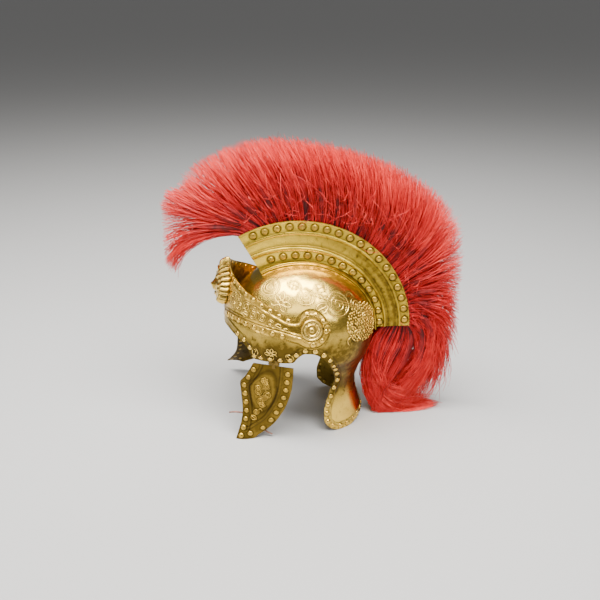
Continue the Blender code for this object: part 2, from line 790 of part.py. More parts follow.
def wall_lean(frame, side):
    """How much the bowl's wall leans out above the hinge, as a share of its height."""
    height = HINGE_HEIGHT + STRAP_TAIL
    face = bowl_point(angle_of(HINGE_ALONG, height), height)
    local = frame.inverted() @ Vector((face.x, side * face.y, face.z))
    return (local.y - SHEET / 2) / (STRAP_TAIL - EDGE_TO_PIN)


def build_strap(name, low, high, lean, upward, finish, parent):
    """A strap folded round the pin, whose two tails hold a sheet edge between them."""
    shift = lean * (STRAP_TAIL - EDGE_TO_PIN)
    inner = PIN_RADIUS + GAP
    outer = inner + STRAP_SHEET
    arc = [math.pi * i / 7 for i in range(8)]
    outside = [(outer * math.cos(t), -outer * math.sin(t)) for t in arc]
    inside = [(inner * math.cos(t), -inner * math.sin(t)) for t in arc]
    outline = [(outer + shift, STRAP_TAIL), (outer, EDGE_TO_PIN), *outside]
    outline += [(-outer, EDGE_TO_PIN), (-outer + shift, STRAP_TAIL)]
    outline += [(-inner + shift, STRAP_TAIL), (-inner, EDGE_TO_PIN), *inside[::-1]]
    outline += [(inner, EDGE_TO_PIN), (inner + shift, STRAP_TAIL)]
    if not upward:
        outline = [(y, -z) for y, z in outline][::-1]
    rings = [[(x, y, z) for y, z in outline] for x in (low, high)]
    points, faces = swept([ring[::-1] for ring in rings])
    return piece(name, points, faces, finish, parent)


def build_hinge(word, side, frame, finish, fixed, moving):
    """A three-strap hinge. Its outer straps hold the bowl, and its middle one holds the guard."""
    third = HINGE_LENGTH / 3
    inset = GAP / 2
    lean = wall_lean(frame, side)
    pin_rings = []
    for x in (-HINGE_LENGTH / 2 - STRAP_SHEET, HINGE_LENGTH / 2 + STRAP_SHEET):
        turns = [math.tau * i / 10 for i in range(10)]
        pin_rings.append([(x, PIN_RADIUS * math.cos(t), PIN_RADIUS * math.sin(t)) for t in turns])
    points, faces = swept(pin_rings)
    piece(f"hinge_pin_{word}", points, faces, finish, fixed)
    for place, low in (("front", -1.5 * third), ("rear", 0.5 * third)):
        name = f"hinge_strap_{place}_{word}"
        build_strap(name, low + inset, low + third - inset, lean, True, finish, fixed)
    name = f"hinge_strap_guard_{word}"
    build_strap(name, inset - third / 2, third / 2 - inset, 0, False, finish, moving)


def guard_face(drop, across):
    """A point on the guard's outer face in its hinge frame: across runs from 0, front, to 1, rear."""
    height = HINGE_HEIGHT - EDGE_TO_PIN
    drops = column(GUARD_ROWS, "drop")
    front = pchip(drop, drops, column(GUARD_ROWS, "front")) * GUARD_WIDTH
    rear = pchip(drop, drops, column(GUARD_ROWS, "rear")) * GUARD_WIDTH
    along = front + (rear - front) * across
    dish = GUARD_DISH * 4 * across * (1 - across) * min(1, 4 * drop)
    out = SHEET / 2 - GUARD_TWIST * along * drop**2 + dish
    return Vector((along, out, -EDGE_TO_PIN - height * drop))


def build_guard(word, side, finish, parent):
    columns, drops = 6, column(GUARD_ROWS, "drop")
    points = []
    for i in range(columns):
        for drop in drops:
            points.append(guard_face(drop, i / (columns - 1)))
    faces = grid_faces(columns, len(drops))
    points, faces = thickened(points, faces, SHEET, level_edge=True)
    return piece(f"cheek_guard_{word}", points, faces, finish, parent)


def build_tie(finish, parent):
    """A leather thong knotted behind the left guard. It hangs out in front of it and below it."""
    hole = guard_face(TIE_HOLE_DROP, TIE_HOLE_ACROSS)
    knot = hole - Vector((0, SHEET + KNOT_RADIUS + GAP, 0))
    rings = []
    for row in range(1, 6):
        lift = math.pi * row / 6
        radius = KNOT_RADIUS * math.sin(lift)
        turns = [math.tau * i / 8 for i in range(8)]
        rings.append(
            [
                knot + Vector((radius * math.cos(t), radius * math.sin(t),
                               -1.2 * KNOT_RADIUS * math.cos(lift)))
                for t in turns
            ]
        )
    points, faces = swept(rings)
    piece("tie_knot", points, faces, finish, parent)
    ends = {
        "chin_tie_upper": [
            (-1.0, -0.1, 0.6), (-1.7, -0.2, 1.1), (-2.8, -0.4, 2.0), (-4.2, -0.5, 3.2),
            (-5.8, -0.4, 4.0), (-8.8, 0.0, 4.2), (-12.3, 0.2, 3.5),
        ],
        "chin_tie_lower": [
            (1.0, -0.3, -0.6), (1.6, -0.5, -1.1), (2.6, -0.9, -2.3), (4.1, -1.5, -4.0),
            (6.0, -1.8, -5.2), (7.8, -1.8, -5.8),
        ],
    }
    for name, route in ends.items():
        sides = [Vector(p) for p in route]
        smooth = bezier_free(sides, 14)
        curve = bpy.data.curves.new(name, "CURVE")
        curve.dimensions = "3D"
        curve.bevel_depth = TIE_DIAMETER / 2
        curve.bevel_resolution = 2
        curve.use_fill_caps = True
        line = curve.splines.new("POLY")
        line.points.add(len(smooth) - 1)
        for place, offset in zip(line.points, smooth):
            place.co = (*(knot + offset * KNOT_RADIUS), 1)
        curve.materials.append(finish)
        made = bpy.data.objects.new(name, curve)
        bpy.context.scene.collection.objects.link(made)
        made.parent = parent


def bezier_free(points, count):
    """Evenly counted points on a smooth curve through these."""
    marks = list(range(len(points)))
    places = [i * (len(points) - 1) / (count - 1) for i in range(count)]
    return [Vector([pchip(p, marks, [q[axis] for q in points]) for axis in range(3)]) for p in places]


def placed_boxes():
    """The lowest and highest corner of everything that is part of the helmet."""
    bpy.context.view_layer.update()
    graph = bpy.context.evaluated_depsgraph_get()
    corners = []
    for shape in bpy.context.scene.objects:
        if shape.type in {"MESH", "CURVE"} and not shape.hide_render:
            evaluated = shape.evaluated_get(graph)
            mesh = evaluated.to_mesh()
            place = evaluated.matrix_world
            corners += [place @ v.co for v in mesh.vertices]
            evaluated.to_mesh_clear()
    points = np.array(corners)
    return points.min(axis=0), points.max(axis=0)


def main():
    for old in list(bpy.data.objects):
        bpy.data.objects.remove(old)
    brass = material("brass", (0.62, 0.46, 0.20), 0.28, 1.0)
    dark_brass = material("dark_brass", (0.45, 0.34, 0.16), 0.40, 1.0)
    hair = material("red_hair", (0.55, 0.03, 0.03), 0.55, 0.0)
    leather = material("leather", (0.42, 0.22, 0.17), 0.70, 0.0)

    helmet = empty("helmet", Matrix.Identity(4))
    build_bowl(brass, helmet)
    build_plate(brass, helmet)
    build_mask(brass, helmet)
    build_holder(brass, helmet)
    build_plume(hair, helmet)
    for word, side, swing in (("left", -1, 0), ("right", 1, RIGHT_GUARD_SWING_DEG)):
        build_boss(f"ear_boss_{word}", side, brass, helmet)
        frame = hinge_frame(side)
        fixed = empty(f"hinge_{word}", frame, helmet)
        turn = Matrix.Rotation(math.radians(swing), 4, "X")
        moving = empty(f"guard_{word}", turn, fixed)
        build_hinge(word, side, frame, dark_brass, fixed, moving)
        build_guard(word, side, brass, moving)
        if side < 0:
            build_tie(leather, moving)

    low, high = placed_boxes()
    helmet.location = (-(low[0] + high[0]) / 2, -(low[1] + high[1]) / 2, -low[2])
    bpy.context.view_layer.update()


main()
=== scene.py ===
import math

import bpy
import numpy as np
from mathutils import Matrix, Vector
from mathutils.kdtree import KDTree


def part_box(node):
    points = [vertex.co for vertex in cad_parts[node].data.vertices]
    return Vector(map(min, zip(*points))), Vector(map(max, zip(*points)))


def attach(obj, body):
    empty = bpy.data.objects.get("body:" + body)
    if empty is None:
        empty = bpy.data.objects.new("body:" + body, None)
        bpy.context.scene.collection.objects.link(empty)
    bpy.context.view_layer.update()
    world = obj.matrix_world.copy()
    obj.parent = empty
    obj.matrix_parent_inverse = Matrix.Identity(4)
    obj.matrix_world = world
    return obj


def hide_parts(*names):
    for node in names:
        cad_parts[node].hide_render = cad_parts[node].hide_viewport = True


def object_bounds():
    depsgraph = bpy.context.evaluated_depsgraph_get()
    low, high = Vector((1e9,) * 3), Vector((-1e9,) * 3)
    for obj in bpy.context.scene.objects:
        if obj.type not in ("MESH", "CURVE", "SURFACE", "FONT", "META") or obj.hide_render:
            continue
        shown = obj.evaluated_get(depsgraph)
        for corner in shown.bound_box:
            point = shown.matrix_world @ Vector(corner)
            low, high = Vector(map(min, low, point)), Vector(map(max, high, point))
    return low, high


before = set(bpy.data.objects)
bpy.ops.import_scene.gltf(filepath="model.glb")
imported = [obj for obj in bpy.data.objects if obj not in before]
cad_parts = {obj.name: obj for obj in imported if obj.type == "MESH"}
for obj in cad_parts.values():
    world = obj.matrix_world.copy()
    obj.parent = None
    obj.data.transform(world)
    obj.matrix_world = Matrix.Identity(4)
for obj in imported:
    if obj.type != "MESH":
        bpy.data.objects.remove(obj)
cad_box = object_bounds()

# The room: a plain pale floor and soft studio light, and the camera at the photograph's
# angle. The helmet faces to the left of the picture, and is seen a little from above.
HELMET_MIDDLE = np.array([-0.02897, -0.01859, 0.0])
CAMERA_AIM = HELMET_MIDDLE + [0, 0, 0.195]
CAMERA_AWAY = 1.2
CAMERA_TILT_DEG = 23
CAMERA_TURN_DEG = 3.5
CAMERA_LENS, CAMERA_SENSOR, CAMERA_CLIP = 45.86, 36, 0.05
FLOOR_SIDE = 90.0
FLOOR_DROP = 0.0005
FLOOR_COLOUR = (0.40, 0.396, 0.39)
WORLD_GREY = 0.14
SUN_STRENGTH, SUN_ANGLE, SUN_PLACE = 0.42, 1.1, (-0.5, -0.6, 3)
# Soft lamps: name, place, aim, width, height, watts, colour.
LAMPS = [
    ("key_lamp", (-0.16, -0.33, 1.62), (0, 0, 0.15), 2.1, 0.80, 128, (1, 0.985, 0.96)),
    ("low_lamp", (-0.1, -1.45, 1.35), (0, 0, 0.2), 1.5, 0.5, 8, (1, 0.985, 0.96)),
    ("front_lamp", (-1.5, -1.3, 0.8), (0, 0, 0.15), 0.5, 1.2, 12, (1, 0.97, 0.93)),
    ("back_lamp", (0.4, 1.2, 1.7), (0, 0, 0.25), 1.6, 0.6, 15, (1, 1, 1)),
    ("hair_lamp", (1.1, -1.5, 1.0), (0.1, 0, 0.25), 0.6, 0.6, 9, (1, 1, 1)),
]


def linked(name, data):
    """A new object in the scene."""
    made = bpy.data.objects.new(name, data)
    bpy.context.scene.collection.objects.link(made)
    return made


def looking(name, data, place, aim):
    """An object that stands at a place and looks at a point."""
    made = linked(name, data)
    made.location = place
    made.rotation_euler = Vector(np.subtract(aim, place)).to_track_quat("-Z", "Y").to_euler()
    return made


def fresh_material(name):
    """A new material, with its tree and its Principled shader."""
    made = bpy.data.materials.new(name)
    made.use_nodes = True
    return made, made.node_tree, made.node_tree.nodes["Principled BSDF"]


tilt, turn = math.radians(CAMERA_TILT_DEG), math.radians(CAMERA_TURN_DEG)
sight = np.array([
    math.sin(turn) * math.cos(tilt), math.cos(turn) * math.cos(tilt), -math.sin(tilt)
])
lens = bpy.data.cameras.new("camera")
lens.lens, lens.sensor_width, lens.sensor_fit = CAMERA_LENS, CAMERA_SENSOR, "HORIZONTAL"
lens.clip_start = CAMERA_CLIP
bpy.context.scene.camera = looking("camera", lens, CAMERA_AIM - sight * CAMERA_AWAY, CAMERA_AIM)

for name, place, aim, wide, tall, watts, colour in LAMPS:
    lamp = bpy.data.lights.new(name, "AREA")
    lamp.shape, lamp.size, lamp.size_y = "RECTANGLE", wide, tall
    lamp.energy, lamp.color = watts, colour
    looking(name, lamp, place, aim)
overhead = bpy.data.lights.new("overhead", "SUN")
overhead.energy, overhead.angle = SUN_STRENGTH, SUN_ANGLE
looking("overhead", overhead, SUN_PLACE, (0, 0, 0))

world = bpy.data.worlds.new("studio")
world.use_nodes = True
world.node_tree.nodes["Background"].inputs["Color"].default_value = (*[WORLD_GREY] * 3, 1)
bpy.context.scene.world = world

floor_mesh = bpy.data.meshes.new("floor")
half = FLOOR_SIDE / 2
floor_mesh.from_pydata(
    [(-half, -half, 0), (half, -half, 0), (half, half, 0), (-half, half, 0)], [], [(0, 1, 2, 3)]
)
floor = linked("floor", floor_mesh)
floor.location.z = -FLOOR_DROP
floor_finish, _, floor_shader = fresh_material("floor_finish")
floor_shader.inputs["Base Color"].default_value = (*FLOOR_COLOUR, 1)
floor_shader.inputs["Roughness"].default_value = 0.8
floor_mesh.materials.append(floor_finish)


# The chin tie: two ends of one thong of soft reddish leather. It is knotted behind the left
# cheek guard, comes out past the guard's front edge, and its lower end hangs below it.
THONG_THICKNESS = 0.0026
KNOT_SIZE, KNOT_LOOP_SHARE, KNOT_SQUEEZE = 0.0034, 0.24, 0.8
LEATHER_DARK, LEATHER_LIGHT = (0.10, 0.035, 0.022), (0.33, 0.15, 0.10)
HINGE_TURN_DEG = 20
THONG_POINTS = 14
# Each route starts at the knot. Its steps are in knot sizes: along the hinge, outwards, up.
UPPER_END = [
    (-1.0, -0.1, 0.6), (-1.7, -0.2, 1.1), (-2.8, -0.4, 2.0), (-4.2, -0.5, 3.2),
    (-5.8, -0.4, 4.0), (-8.8, 0.0, 4.2), (-12.3, 0.2, 3.5),
]
LOWER_END = [
    (1.0, -0.3, -0.6), (1.6, -0.5, -1.1), (2.6, -0.9, -2.3), (4.1, -1.5, -4.0),
    (6.0, -1.8, -5.2), (7.8, -1.8, -5.8),
]


def flowing(x, xs, ys):
    """A smooth curve through the points that never overshoots them."""
    xs, ys = np.asarray(xs, float), np.asarray(ys, float)
    steps, rises = np.diff(xs), np.diff(ys) / np.diff(xs)
    slopes = np.zeros(len(xs))
    same_way = rises[:-1] * rises[1:] > 0
    mean = 2 * rises[:-1] * rises[1:] / np.where(same_way, rises[:-1] + rises[1:], 1)
    slopes[1:-1] = np.where(same_way, mean, 0)
    slopes[0], slopes[-1] = rises[0], rises[-1]
    i = np.clip(np.searchsorted(xs, x, side="right") - 1, 0, len(steps) - 1)
    t = np.clip((x - xs[i]) / steps[i], 0, 1)
    return (
        (1 + 2 * t) * (1 - t) ** 2 * ys[i]
        + t * (1 - t) ** 2 * steps[i] * slopes[i]
        + t * t * (3 - 2 * t) * ys[i + 1]
        + t * t * (t - 1) * steps[i] * slopes[i + 1]
    )


def feed(tree, node, **values):
    """Gives the node's sockets of these names a value, or a link where the value is a socket."""
    for name, value in values.items():
        socket = node.inputs[name.replace("_", " ")]
        if isinstance(value, bpy.types.NodeSocket):
            tree.links.new(value, socket)
        else:
            socket.default_value = value


def put(tree, kind, **values):
    """A node of this kind. Each value is a setting, or is fed to the socket of that name."""
    made = tree.nodes.new(kind)
    for name, value in values.items():
        if hasattr(made, name):
            setattr(made, name, value)
        else:
            feed(tree, made, **{name: value})
    return made


def object_place(tree):
    """The place on the object, for the patterns of a material."""
    return put(tree, "ShaderNodeTexCoord").outputs["Object"]


def ramped(tree, amount, *stops):
    """A colour from an amount, by stops of (place, colour)."""
    ramp = put(tree, "ShaderNodeValToRGB", Fac=amount)
    marks = ramp.color_ramp.elements
    while len(marks) < len(stops):
        marks.new(0.5)
    for stop, (place, colour) in zip(marks, stops):
        stop.position, stop.color = place, (*colour, 1)
    return ramp.outputs["Color"]


# Soft leather: mottled, matte, with a fine grain.
leather, tree, shader = fresh_material("thong_leather")
where = object_place(tree)
blotch = put(tree, "ShaderNodeTexNoise", Vector=where, Scale=240, Detail=4).outputs["Fac"]
grain = put(tree, "ShaderNodeTexVoronoi", Vector=where, Scale=2600).outputs["Distance"]
bump = put(tree, "ShaderNodeBump", Strength=0.5, Distance=0.0002, Height=grain)
feed(
    tree, shader, Base_Color=ramped(tree, blotch, (0.3, LEATHER_DARK), (0.7, LEATHER_LIGHT)),
    Normal=bump.outputs["Normal"], Roughness=0.6,
)
knot_low, knot_high = (np.array(corner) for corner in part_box("tie_knot"))
knot_middle = (knot_low + knot_high) / 2
hinge_turn = math.radians(HINGE_TURN_DEG)
upwards = np.array([0.0, 0.0, 1.0])


def hinge_ways(side):
    """Ways along a hinge's pin and out from it, on the left (-1) or on the right (1)."""
    cos, sin = math.cos(hinge_turn), math.sin(hinge_turn)
    return np.array([cos, side * sin, 0]), np.array([-sin, side * cos, 0])


left_ways = np.array([*hinge_ways(-1), upwards])


def curve_piece(name, points, thickness, closed=False):
    """A round thong along these points."""
    curve = bpy.data.curves.new(name, "CURVE")
    curve.dimensions = "3D"
    curve.bevel_depth = thickness / 2
    curve.bevel_resolution = 2
    curve.use_fill_caps = not closed
    line = curve.splines.new("POLY")
    line.points.add(len(points) - 1)
    for place, point in zip(line.points, points):
        place.co = (*point, 1)
    line.use_cyclic_u = closed
    curve.materials.append(leather)
    return linked(name, curve)


def plain_mesh(made):
    """The same object with its modifiers or its curve made into a plain mesh."""
    graph = bpy.context.evaluated_depsgraph_get()
    mesh = bpy.data.meshes.new_from_object(made.evaluated_get(graph), depsgraph=graph)
    name = made.name
    bpy.data.objects.remove(made)
    mesh.name = name
    return linked(name, mesh)


knot_turns = np.linspace(0, math.tau, 60, endpoint=False)
knot_loop = np.stack(
    [
        np.sin(knot_turns) + 2 * np.sin(2 * knot_turns),
        -0.8 * np.sin(3 * knot_turns),
        1.15 * (np.cos(knot_turns) - 2 * np.cos(2 * knot_turns)),
    ],
    axis=1,
) * KNOT_SIZE * KNOT_LOOP_SHARE
knot_points = knot_middle + knot_loop @ left_ways
knot = plain_mesh(
    curve_piece("knotted_thong", knot_points, THONG_THICKNESS * KNOT_SQUEEZE, closed=True)
)
knot.data.shade_smooth()
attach(knot, "cheek_left")
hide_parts("tie_knot")

for name, node, route in (
    ("thong_end_upper", "chin_tie_upper", UPPER_END),
    ("thong_end_lower", "chin_tie_lower", LOWER_END),
):
    marks = np.arange(len(route))
    places = np.linspace(0, len(route) - 1, THONG_POINTS)
    steps = np.stack([flowing(places, marks, column) for column in np.array(route).T], axis=1)
    line = knot_middle + KNOT_SIZE * (steps @ left_ways)
    thong = curve_piece(name, line, THONG_THICKNESS)
    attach(thong, "cheek_left")
    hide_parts(node)
    length = float(np.linalg.norm(np.diff(line, axis=0), axis=1).sum())


# The bowl and its neck guard: one raised sheet of brass, 1.2 mm thick. Its edge is a worked
# border with an inner ridge, and the skull is chased with scrolls, a flower and an eye.
SHEET = 0.0012
BOWL_LENGTH, BOWL_WIDTH = 0.240, 0.196
BOWL_BASE, BOWL_RISE = 0.155, 0.108
CROWN = BOWL_BASE + BOWL_RISE
# Level sections of the helmet below its widest line: height, centre, rear reach, half width.
SECTIONS = np.array([
    (0.000, 0.083, 0.425, 0.396), (0.077, 0.083, 0.420, 0.390), (0.204, 0.083, 0.398, 0.376),
    (0.345, 0.083, 0.376, 0.361), (0.429, 0.083, 0.372, 0.352), (0.570, 0.083, 0.400, 0.360),
    (0.701, 0.083, 0.438, 0.403), (0.804, 0.054, 0.462, 0.470), (0.906, 0.023, 0.480, 0.494),
    (1.000, 0.000, 0.500, 0.500),
]) * [1, BOWL_LENGTH, BOWL_LENGTH, BOWL_WIDTH]
# The edges of the sheet: how far along the helmet, and how high.
FACE_RIM = np.array([
    (-0.500, 1.090), (-0.477, 1.087), (-0.420, 1.048), (-0.365, 0.992), (-0.333, 0.918),
    (-0.315, 0.856), (-0.256, 0.847), (-0.145, 0.849), (-0.068, 0.862), (-0.035, 0.925),
    (0.008, 0.965), (0.052, 0.960), (0.091, 0.934), (0.135, 0.875), (0.165, 0.806),
]) * [BOWL_LENGTH, BOWL_BASE]
NECK_EDGE = np.array([
    (0.165, 0.806), (0.200, 0.640), (0.209, 0.565), (0.179, 0.443), (0.154, 0.328),
    (0.139, 0.212), (0.143, 0.115), (0.185, 0.031),
]) * [BOWL_LENGTH, BOWL_BASE]
NECK_RIM = np.array([
    (0.185, 0.031), (0.240, 0.000), (0.310, 0.000), (0.368, 0.028), (0.421, 0.062),
]) * [BOWL_LENGTH, BOWL_BASE]
BOWL_FRONT_COLUMNS, BOWL_NECK_COLUMNS = 110, 56
BOWL_UP_ROWS, BOWL_NECK_ROWS = 64, 52
# How strongly the mesh's rows and columns crowd towards the edges of the sheet.
UP_CROWDING, NECK_CROWDING, DOWN_CROWDING = 1.18, 1.25, 1.15
RIM_MARKS = 500
BORDER_WIDTH = 0.0092
EDGE_ROLL, EDGE_ROLL_WIDTH = 0.0007, 0.0016
INNER_RIDGE, INNER_RIDGE_WIDTH = 0.0009, 0.0012
INNER_DARKNESS, SHARP_DEG = 0.35, 50
# Brass colours. Brown is the colour of tarnish patches and of painted shade on some sheets; deep
# is the colour of darker hollows and of painted shade round studs and under the mask's edge.
BRIGHT_BRASS, BROWN_BRASS = (0.75, 0.475, 0.085), (0.30, 0.185, 0.035)
DEEP_BRASS = (0.040, 0.024, 0.006)


def section_at(height):
    """Centre, rear reach and half width of the level section at a height."""
    share = np.minimum(1, np.asarray(height, float) / BOWL_BASE)
    return [flowing(share, SECTIONS[:, 0], SECTIONS[:, k]) for k in (1, 2, 3)]


def dome_share(height):
    """How wide the bowl is at a height, as a share of its widest line."""
    rise = np.clip((np.asarray(height, float) - BOWL_BASE) / BOWL_RISE, 0, 1)
    return np.sqrt(1 - rise * rise)


def angle_of(along, height):
    """The angle round the bowl, from the front, of a place on it."""
    centre, rear, _ = section_at(height)
    reach = np.where(along < centre, BOWL_LENGTH / 2 + centre, rear - centre)
    return np.arccos(np.clip((centre - along) / (reach * dome_share(height)), -1, 1))


def bowl_point(angle, height):
    """A point on the outer face of the bowl or the neck guard."""
    angle, height = np.broadcast_arrays(np.asarray(angle, float), np.asarray(height, float))
    centre, rear, half_width = section_at(height)
    reach = np.where(np.cos(angle) > 0, BOWL_LENGTH / 2 + centre, rear - centre)
    share = dome_share(height)
    along, across = centre - reach * share * np.cos(angle), half_width * share * np.sin(angle)
    return np.stack([along, across, height], axis=-1)


def along_outline(outline, shares):
    """Points at these shares of the way along a smooth line through an outline."""
    steps = np.hypot(*np.diff(outline, axis=0).T)
    marks = np.concatenate([[0], np.cumsum(steps)]) / steps.sum()
    return np.stack([flowing(shares, marks, outline[:, k]) for k in (0, 1)], axis=-1)


def face_normals(points, quads):
    """Normals at the points of a mesh of quads."""
    corners = points[quads]
    cross = np.cross(corners[:, 2] - corners[:, 0], corners[:, 3] - corners[:, 1])
    normals = np.zeros_like(points)
    for k in range(4):
        np.add.at(normals, quads[:, k], cross)
    return normals / np.maximum(np.linalg.norm(normals, axis=1, keepdims=True), 1e-12)


def edge_runs(quads):
    """Edges that only one face has, each running the way its face does."""
    edges = np.concatenate([quads[:, [k, (k + 1) % 4]] for k in range(4)])
    edges = edges[edges[:, 0] != edges[:, 1]]
    known = set(map(tuple, edges.tolist()))
    return np.array([e for e in edges.tolist() if (e[1], e[0]) not in known])


def sheet_piece(name, points, quads, relief, hollow, finish, thickness=SHEET):
    """A closed sheet: its outer face with relief, its plain inner face, and its edge."""
    normals = face_normals(points, quads)
    outer = points + normals * relief[:, None]
    inner = points - normals * thickness
    count = len(points)
    edges = edge_runs(quads)
    walls = np.stack([edges[:, 1], edges[:, 0], edges[:, 0] + count, edges[:, 1] + count], axis=1)
    faces = np.concatenate([quads, quads[:, ::-1] + count, walls]).tolist()
    made = mesh_piece(name, np.concatenate([outer, inner]), faces, finish)
    mark(made.data, "hollow", np.concatenate([np.clip(hollow, 0, 1), np.full(count, INNER_DARKNESS)]))
    return made


def mark(mesh, word, values, kind="FLOAT"):
    """Keeps a number, or a vector, at each point of a mesh under this word."""
    layer = mesh.attributes.new(word, kind, "POINT").data
    key = "value" if kind == "FLOAT" else "vector"
    layer.foreach_set(key, np.asarray(values, np.float32).ravel())


TURNED = [0, 3, 2, 1]


def net(rows, around, closed=False):
    """Quads between rows of points, where closed rows join their last point to their first."""
    steps = around if closed else around - 1
    i, j = np.meshgrid(np.arange(rows - 1), np.arange(steps), indexing="ij")
    a, b = (i * around + j).ravel(), (i * around + (j + 1) % around).ravel()
    return np.stack([a, b, b + around, a + around], axis=1)


def mesh_piece(name, points, faces, finish):
    """A smooth-shaded mesh in the shared frame from points in the helmet's own frame."""
    mesh = bpy.data.meshes.new(name)
    faces = [list(dict.fromkeys(f)) for f in faces]
    mesh.from_pydata((np.asarray(points) + HELMET_MIDDLE).tolist(), [], faces)
    mesh.validate()
    mesh.shade_smooth()
    mesh.set_sharp_from_angle(angle=math.radians(SHARP_DEG))
    mesh.materials.append(finish)
    return linked(name, mesh)


def mark_brown_and_shade(made, amounts, back=0.3):
    """Marks how far each point of a sheet's outer face, and of its back, turns to the brown
    colour. On the bowl's lower part and on the cheek guards this is painted shade.
    """
    full = np.full(len(made.data.vertices), back)
    full[:len(amounts)] = amounts
    mark(made.data, "brown_and_shade", np.clip(full, 0, 1))


def shade_and_dirt_round(made, marks, radius, width, amount):
    """Darkens the hollow mark round these marks on a sheet: painted shade round studs and under
    the mask's edge, and darker hollows along lines and dots.
    """
    count = len(made.data.vertices)
    points = np.empty(count * 3, np.float32)
    made.data.vertices.foreach_get("co", points)
    mask = made.data.attributes["hollow"]
    dark = np.empty(count, np.float32)
    mask.data.foreach_get("value", dark)
    gap = away_from(points.reshape(-1, 3).astype(float), np.asarray(marks) + HELMET_MIDDLE)
    dark = np.clip(np.maximum(dark, amount * hill(gap, radius, width)), 0, 1)
    mask.data.foreach_set("value", dark.astype(np.float32))


def away_from(points, line):
    """How far each point is from the nearest point of a line."""
    tree = KDTree(len(line))
    for number, place in enumerate(line):
        tree.insert(place, number)
    tree.balance()
    return np.array([tree.find(point)[2] for point in points])


def smoothly(x, low, high):
    """A smooth step from 0 to 1."""
    t = np.clip((x - low) / (high - low), 0, 1)
    return t * t * (3 - 2 * t)


def hill(distance, middle, width):
    """A soft ridge across a distance."""
    return np.exp(-(((distance - middle) / width) ** 2))


def group_of(name, kind, inputs, outputs):
    """A node group with these sockets, what its start gives, and its end."""
    group = bpy.data.node_groups.new(name, kind)
    for way, sockets in (("OUTPUT", outputs), ("INPUT", inputs)):
        for word, (socket_kind, value) in sockets.items():
            socket = group.interface.new_socket(word, in_out=way, socket_type=socket_kind)
            if value is not None:
                socket.default_value = value
    return group, put(group, "NodeGroupInput").outputs, put(group, "NodeGroupOutput")


def maths(tree, operation, first, *more):
    """The sum, product or such of two or more terms, by Math nodes. A term may be a socket."""
    for term in more:
        made = put(tree, "ShaderNodeMath", operation=operation)
        for number, value in enumerate((first, term)):
            if isinstance(value, bpy.types.NodeSocket):
                tree.links.new(value, made.inputs[number])
            else:
                made.inputs[number].default_value = value
        first = made.outputs[0]
    return first


def blended(tree, amount, first, second):
    """A colour between two others, all of them sockets."""
    made = put(tree, "ShaderNodeMix", data_type="RGBA")
    for number, value in ((0, amount), (6, first), (7, second)):
        tree.links.new(value, made.inputs[number])
    return made.outputs[2]


def worn_and_shaded_brass_group():
    """Old polished brass: brown in patches, dark brown in the hollows, scratched, a little dented.
    The marks that turn it brown and darken its hollows also carry painted shade.
    """
    colour, number = "NodeSocketColor", "NodeSocketFloat"
    group, given, result = group_of(
        "worn_and_shaded_brass", "ShaderNodeTree",
        {
            "Bright": (colour, (*BRIGHT_BRASS, 1)), "Brown": (colour, (*BROWN_BRASS, 1)),
            "Deep": (colour, (*DEEP_BRASS, 1)), "Tarnish": (number, 0.3),
            "Gloss": (number, 0.2), "Dents": (number, 1.0),
        },
        {"Colour": (colour, None), "Roughness": (number, None), "Height": (number, None)},
    )
    where = object_place(group)

    def noise(scale, detail, rough=0.5, warp=0.0, at=where):
        return put(
            group, "ShaderNodeTexNoise", Vector=at, Scale=scale, Detail=detail, Roughness=rough,
            Distortion=warp,
        ).outputs["Fac"]

    def marked(word):
        return put(group, "ShaderNodeAttribute", attribute_name=word).outputs["Fac"]

    def plus(*terms):
        return maths(group, "ADD", *terms)

    def times(*terms):
        return maths(group, "MULTIPLY", *terms)

    def past(amount, limit, strength):
        return times(maths(group, "MAXIMUM", plus(amount, -limit), 0.0), strength)

    patches, mottle = noise(17, 5, 0.6, 0.4), noise(120, 6, 0.62)
    fine, dents = noise(900, 3), noise(28, 2)
    stretch = put(
        group, "ShaderNodeMapping", Vector=where, Rotation=(0.4, 0.7, 0.3), Scale=(60, 900, 900)
    )
    scratch = noise(1.0, 2, at=stretch.outputs["Vector"])
    patch_mask = maths(group, "SMOOTH_MIN", 1.0, times(plus(patches, -0.42), 3.2))
    patch_mask.node.inputs[2].default_value = 0.1
    # Tarnish patches, mottling, and the brown mark, which is painted shade on the bowl's lower
    # part and on the cheek guards.
    tarnish_and_shade = plus(
        times(maths(group, "MAXIMUM", patch_mask, 0.0), given["Tarnish"]),
        times(marked("brown_and_shade"), plus(mottle, 0.4)), past(mottle, 0.56, 2.4),
    )
    tarnish_and_shade = maths(group, "MINIMUM", tarnish_and_shade, 1.0)
    # The hollow mark darkens towards the deep colour: painted shade round studs and under the
    # mask's edge, and darker hollows along lines and ridges.
    dirt_and_shade = maths(group, "MINIMUM", times(marked("hollow"), plus(mottle, 0.45)), 0.97)
    tint = blended(group, tarnish_and_shade, given["Bright"], given["Brown"])
    feed(
        group, result, Colour=blended(group, dirt_and_shade, tint, given["Deep"]),
        Roughness=plus(
            given["Gloss"], times(tarnish_and_shade, 0.16), times(dirt_and_shade, 0.25), times(fine, 0.08)
        ),
        Height=plus(
            times(dents, given["Dents"]), times(mottle, 0.10), times(fine, 0.012),
            times(scratch, 0.022),
        ),
    )
    return group


worn_and_shaded_brass = worn_and_shaded_brass_group()


